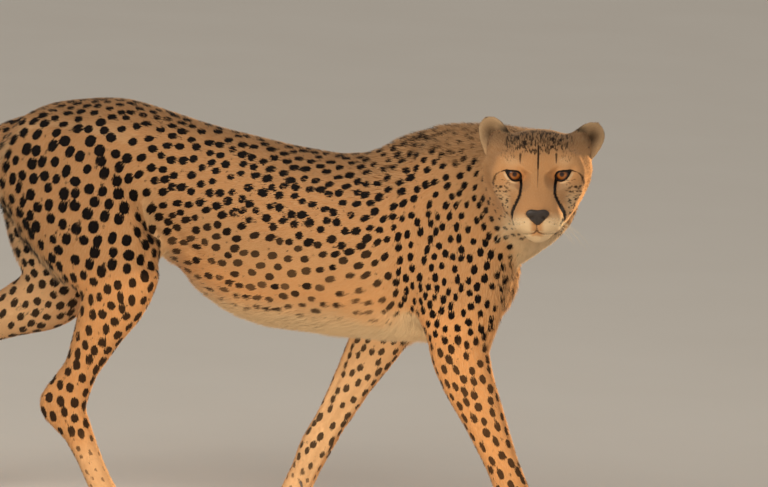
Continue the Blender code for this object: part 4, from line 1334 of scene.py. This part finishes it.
leather = bmesh.new()
bmesh.ops.create_icosphere(leather, subdivisions=5, radius=1.0)
for v in leather.verts:
    ahead, side, high = v.co
    low = (1 - high) / 2
    ring = math.sqrt(max(1 - high * high, 1e-6))
    y = math.copysign(abs(side / ring) ** 0.9, side) * nose_half(low) * min(1.0, ring / 0.30)
    notch = 0.0014 * math.exp(-((y / 0.0056) ** 2)) * max(1 - low / 0.45, 0)
    z = NOSE_TOP + (NOSE_FOOT - NOSE_TOP) * low - notch
    bulge = math.copysign(abs(ahead) ** 0.75, ahead) * NOSE_DEEP * (1 - 0.25 * low)
    x = nose_middle[0] + 0.0012 + bulge - 0.0035 * low
    if ahead > 0:  # a nostril, its slit to the side, and the groove down the middle
        out_from, above = abs(y), z - nose_middle[2]
        rising = above + 0.0016 + 0.35 * (out_from - 0.008)
        x -= 0.0036 * dent((out_from - 0.0082) / 0.0030, rising / 0.0019, 1.1)
        x -= 0.0014 * dent((out_from - 0.0120) / 0.0028, (above + 0.0026) / 0.0010, 1)
        x -= 0.0012 * math.exp(-((y / 0.0009) ** 2)) * smoothstep(0.35, 0.6, low)
    v.co = (x, y, z)
leather.transform(HEAD)
bmesh.ops.recalc_face_normals(leather, faces=leather.faces[:])
mesh = mesh_of(leather, "nose_leather")
mesh.shade_smooth()
nose_look, tree, shader, place = material("nose_leather", 0.46, Coat_Weight=0.15, Coat_Roughness=0.3)
tone = mix(tree, noise(tree, place, 160.0, 4.0), rgb(30, 23, 18), rgb(64, 52, 44))
tree.links.new(tone, shader.inputs["Base Color"])
pebbles = node(tree, "ShaderNodeTexVoronoi", {"Vector": place, "Scale": 900.0}).outputs["Distance"]
roughen(tree, shader, pebbles, 0.45, 0.0005)
mesh.materials.append(nose_look)
nose = new_object("nose_leather", mesh)
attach(nose, "root")
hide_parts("nose")
print("nose", [round(x * 1000, 1) for x in nose.dimensions], "mm")

# %% [markdown]
# ## Whiskers and claws
# Stiff pale whiskers grow in rows from the swollen pads and droop outwards, and a few stand over
# each eye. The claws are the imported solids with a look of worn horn.

# %% Whiskers
whisker_look = grained("whisker", 0.35, 60.0, 2.0, (244, 224, 186), (214, 190, 150), Specular_IOR_Level=0.6)
forward, to_left, to_top = (Vector(axis) for axis in HEAD_AXES.T)
PAD_ROWS = ((-0.0625, 3), (-0.0670, 4), (-0.0715, 3))  # height of each row, and its whiskers
POINTS_OF_WHISKER, DOWN = 9, Vector((0, 0, -1))
ROOT_DEEP, TIP_THICK = 0.0006, 0.00005
# places seen from in front, side and length: longer towards the cheek, and one over each eye
starts = [(side * (0.0165 + 0.0040 * i), v, side, 0.030 + 0.006 * i)
          for side in (-1, 1) for v, count in PAD_ROWS for i in range(count)]
starts += [(side * 0.029, 0.0125, side, 0.020) for side in (-1, 1)]
lines, thick = [], []
for u, v, side, reach in starts:
    root, out = skin_tree.ray_cast(HEAD @ Vector((0.2, u, v + 0.0026)), -forward)[:2]
    if root is None:
        continue
    brow = v > 0
    ahead, rising, root_thick = (0.8, 0.75, 0.00010) if brow else (0.12, -0.18, 0.00019)
    first = (to_left * side * 0.85 + forward * ahead + to_top * rising).normalized()
    reach *= chance.uniform(0.85, 1.25)
    sag = DOWN * (0.10 if brow else chance.uniform(0.50, 0.85)) - forward * 0.50
    lines.append([root - out * ROOT_DEEP + first * reach * t + sag * reach * t * t
                  for t in np.linspace(0, 1, POINTS_OF_WHISKER)])
    thick.append(list(np.linspace(root_thick, TIP_THICK, POINTS_OF_WHISKER)))
whiskers = tubes("whiskers", lines, thick, whisker_look, resolution=1)
print(len(lines), "whiskers of", len(whiskers.data.polygons), "faces")

# %% Claws
claw_look = grained("worn_horn", 0.42, 260.0, 4.0, (58, 46, 38), (128, 108, 88), bump=(0.3, 0.0004),
                    Coat_Weight=0.2, Coat_Roughness=0.3)
horn = [name for name in nodes if name.startswith(("claw", "dewclaw"))]
for name in horn:
    for slot in nodes[name].material_slots:
        slot.link, slot.material = "OBJECT", claw_look
print(len(horn), "claws of horn")

# %% [markdown]
# ## Tufts
# A tuft is a thin closed spike: three points round its root, for long hair three more half way,
# and a tip. It rises out of the skin to the depth of its coat and then lies along it, following
# the skin's curve. Hundreds of thousands are joined into a few meshes, because instances and
# hair curves aren't kept by an export.

# %% How the skin bends along the hair
BEND_ROUNDS, HOLLOW, BULGE = 6, -25, 60  # the limits are one over a radius in metres
here, there = neighbours.here, neighbours.there
step_along = points[there] - points[here]
turned = outwards[there] - outwards[here]
run = (step_along * flow[here]).sum(1)
rise = (turned * flow[here]).sum(1)
squares = np.bincount(here, run * run, len(points))
bend = np.bincount(here, rise * run, len(points)) / np.maximum(squares, 1e-9)
bend = blurred(np.clip(bend, HOLLOW, BULGE), BEND_ROUNDS)
print("bend of the skin along the hair, per metre:", np.percentile(bend, (5, 50, 95)).round(1))


# %% An unwrap of the skin, shared by the skin and the tufts
PLAN_SHARE = 0.035
plan = new_object("plan", skin_mesh.copy())
plan.modifiers.new("coarse", "DECIMATE").ratio = PLAN_SHARE
plan_mesh = final_mesh(plan, "plan")
plan = new_object("plan", plan_mesh)
bpy.context.view_layer.objects.active = plan
plan.select_set(True)
bpy.ops.object.mode_set(mode="EDIT")
bpy.ops.mesh.select_all(action="SELECT")
bpy.ops.uv.smart_project(angle_limit=math.radians(60), island_margin=0.006)
bpy.ops.object.mode_set(mode="OBJECT")
plan_points = places(plan_mesh)
plan_faces = np.array([p.vertices for p in plan_mesh.polygons])
flat_places = np.empty(len(plan_mesh.loops) * 2, np.float32)
plan_mesh.uv_layers.active.data.foreach_get("uv", flat_places)
flat_places = flat_places.reshape(-1, 3, 2)
plan_tree = BVHTree.FromPolygons([tuple(p) for p in plan_points], plan_faces.tolist())
a, b, c = (plan_points[plan_faces[:, i]] for i in range(3))
across, upward = b - a, c - a
square = np.stack([(across * across).sum(1), (across * upward).sum(1), (upward * upward).sum(1)], 1)
bpy.data.objects.remove(plan)
print("unwrapped on", len(plan_faces), "faces")


def unwrapped(places, face=None):
    """Where places fall on the unwrap, by the nearest face of the plan."""
    if face is None:
        face = np.array([plan_tree.find_nearest(p)[2] for p in places])
    away = places - a[face]
    p, q = (away * across[face]).sum(1), (away * upward[face]).sum(1)
    xx, xy, yy = square[face].T
    under = np.maximum(xx * yy - xy * xy, 1e-18)
    s, t = (yy * p - xy * q) / under, (xx * q - xy * p) / under
    first, second, third = flat_places[face].transpose(1, 0, 2)
    return first + s[:, None] * (second - first) + t[:, None] * (third - first), face


# %% Give the skin its own unwrap
middles = places(skin_mesh)[triangles].mean(1)
_, face_plan = unwrapped(middles)
skin_corners = places(skin_mesh)[triangles].reshape(-1, 3)
skin_uv, _ = unwrapped(skin_corners, np.repeat(face_plan, 3))
skin_mesh.uv_layers.new(name="OFBake").data.foreach_set("uv", skin_uv.astype(np.float32).ravel())
print("skin unwrapped, from", skin_uv.min(0).round(2), "to", skin_uv.max(0).round(2))

# %% One kind of tuft
LONG_SIDES = [(0, 4, 1), (0, 3, 4), (1, 5, 2), (1, 4, 5), (2, 3, 0),
              (2, 5, 3), (3, 6, 4), (4, 6, 5), (5, 6, 3), (0, 1, 2)]
SHORT_SIDES = [(0, 3, 1), (1, 3, 2), (2, 3, 0), (0, 1, 2)]
RING = np.array([(-0.5, 0.0), (0.0, 0.30), (0.5, 0.0)])  # across the hair and out of the skin
ROOT_SUNK, WAIST = 0.0006, 0.8
YAW_SPREAD, TIP_RISE, LEAST_HEIGHT = 0.16, 0.30, 0.00045
READ_AT = (0.1, 0.45, 0.8)  # where along a tuft its markings are read
BAKE_PATCH = 0.003
PATCH = np.array([(-0.5, -0.5), (0, -0.5), (0.5, -0.5), (-0.5, 0.0), (0, 0.0), (0.5, 0.0), (0, 0.5)])
coat_look, tree, shader, coat = coat_material("coat_tufts", 0.60, 0.5, 0.45)
# painted glow of light on the hair tips: paler towards the tip, by a random share per tuft, not on the marks
painted_tip_glow = maths(tree, "MULTIPLY", attribute(tree, "along"), attribute(tree, "each"))
painted_tip_glow = maths(tree, "MULTIPLY", painted_tip_glow, maths(tree, "SUBTRACT", 1.0, coat["Mark"]))
tree.links.new(mix(tree, painted_tip_glow, coat["Colour"], rgb(240, 206, 158)), shader.inputs["Base Color"])


def tuft_mesh(name, rows, sides):
    """One mesh of many tufts, each with the same rows of points."""
    all_points = np.concatenate(rows, 1)
    count, per = all_points.shape[:2]
    faces = (np.array(sides)[None] + np.arange(count)[:, None, None] * per).reshape(-1, 3)
    mesh = bpy.data.meshes.new(name)
    mesh.vertices.add(count * per)
    mesh.vertices.foreach_set("co", all_points.astype(np.float32).ravel())
    mesh.loops.add(len(faces) * 3)
    mesh.loops.foreach_set("vertex_index", faces.astype(np.int32).ravel())
    mesh.polygons.add(len(faces))
    mesh.polygons.foreach_set("loop_start", np.arange(0, len(faces) * 3, 3, dtype=np.int32))
    mesh.update(calc_edges=True)
    mesh.validate()
    return mesh, faces


def coat_piece(name, count, weights, sides):
    """A joined mesh of tufts rooted over the skin where weights, a value of its points, allow."""
    face, corner_share = scatter(count, weights[triangles].mean(1))

    def at_roots(values):
        return read(values, face, corner_share)

    root, out = at_roots(points), unit(at_roots(outwards))
    lie = at_roots(flow)
    lie = unit(lie - (lie * out).sum(1)[:, None] * out)
    across = np.cross(out, lie)
    yaw = chance.normal(0, YAW_SPREAD, count)[:, None]
    lie, across = lie * np.cos(yaw) + across * np.sin(yaw), across * np.cos(yaw) - lie * np.sin(yaw)
    long, wide, deep, lift = (at_roots(values) * chance.uniform(*spread, count) for values, spread in (
        (length, (0.75, 1.25)), (width, (0.75, 1.20)), (depth, (0.70, 1.15)), (upright, (0.6, 1.5))))
    bending = at_roots(bend)

    def at(share, height):
        run = long * share
        drop = bending * run * run / 2
        return root + lie * run[:, None] + out * (height - drop)[:, None]

    def ring_at(centre, size):
        return (centre[:, None] + across[:, None] * (RING[None, :, :1] * size * wide[:, None, None])
                + out[:, None] * (RING[None, :, 1:] * size * wide[:, None, None]))

    tip_height = np.maximum(deep * 0.9, LEAST_HEIGHT) + long * lift * TIP_RISE
    half_height = np.maximum(deep * 0.75, 0.0004)
    rows = [ring_at(at(0.0, -ROOT_SUNK), 1.0), at(1.0, tip_height)[:, None]]
    if sides is LONG_SIDES:
        rows.insert(1, ring_at(at(0.5, half_height), WAIST))
    mesh, faces = tuft_mesh(name, rows, sides)
    per = sum(row.shape[1] for row in rows)
    # the markings at its root, half way and near its tip
    part, levels = at_roots(region), []
    for reach in READ_AT:
        on_skin = at(reach, 0.0)
        in_face = in_head(on_skin)
        levels.append(markings(on_skin, out, part, in_face, seen(in_face)))
    foot, half, tip = (level["ink"] for level in levels)
    levels[2]["ink"] = np.maximum(tip, 2 * half - foot)  # black ends with the spot that it is rooted in
    for key in levels[0]:
        rows = [np.repeat(levels[0][key][:, None], 3, axis=1), levels[2][key][:, None]]
        if sides is LONG_SIDES:
            rows.insert(1, np.repeat(levels[1][key][:, None], 3, axis=1))
        store(mesh, key, np.concatenate(rows, 1))
    store(mesh, "along", np.tile(np.concatenate([np.zeros(3), np.full(per - 4, 0.5), [1.0]]), count))
    store(mesh, "each", np.repeat(chance.uniform(0.05, 0.35, count), per))
    patch = unwrapped(root)[0][:, None] + np.concatenate([PATCH[:per - 1], PATCH[-1:]]) * BAKE_PATCH
    corners = patch.reshape(-1, 2)[faces.ravel()].astype(np.float32)
    mesh.uv_layers.new(name="OFBake").data.foreach_set("uv", corners.ravel())
    mesh.shade_smooth()
    soft = unit(0.7 * np.repeat(out, per, axis=0) + 0.3 * normals(mesh))
    mesh.normals_split_custom_set_from_vertices(soft)
    mesh.materials.append(coat_look)
    made = new_object(name, mesh)
    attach(made, "root")
    print(name, len(faces), "triangles")


# %% The coat, in pieces small enough to handle
on_face_fur = share("head", "ear") * (near_eye > 0.0014) * (1 - smoothstep(0.3, 0.8, on_nose_skin))
fringe = np.clip(nape + belly + thigh_back + 0.7 * chest + 0.6 * ruff + 0.5 * elbow_side, 0, 1)
low_side = smoothstep(0.1, -0.1, outwards[:, 2])
pieces_of_coat = {
    "coat_head": (48000, on_face_fur, SHORT_SIDES),
    "coat_neck": (40000, share("neck"), SHORT_SIDES),
    "coat_back": (40000, share("trunk") * (1 - low_side), SHORT_SIDES),
    "coat_right_flank": (40000, share("trunk") * low_side * (points[:, 1] < body_middle.y), SHORT_SIDES),
    "coat_left_flank": (40000, share("trunk") * low_side * (points[:, 1] >= body_middle.y), SHORT_SIDES),
    "coat_thighs": (40000, share("thigh"), SHORT_SIDES),
    "coat_arms": (44000, share("upper_arm", "forearm", "paw_front"), SHORT_SIDES),
    "coat_shanks": (34000, share("shank", "paw_hind"), SHORT_SIDES),
    "coat_tail": (9000, share("tail"), LONG_SIDES),
    "coat_fringes": (10000, fringe, LONG_SIDES),
}
for name, (count, weights, sides) in pieces_of_coat.items():
    coat_piece(name, count, weights, sides)
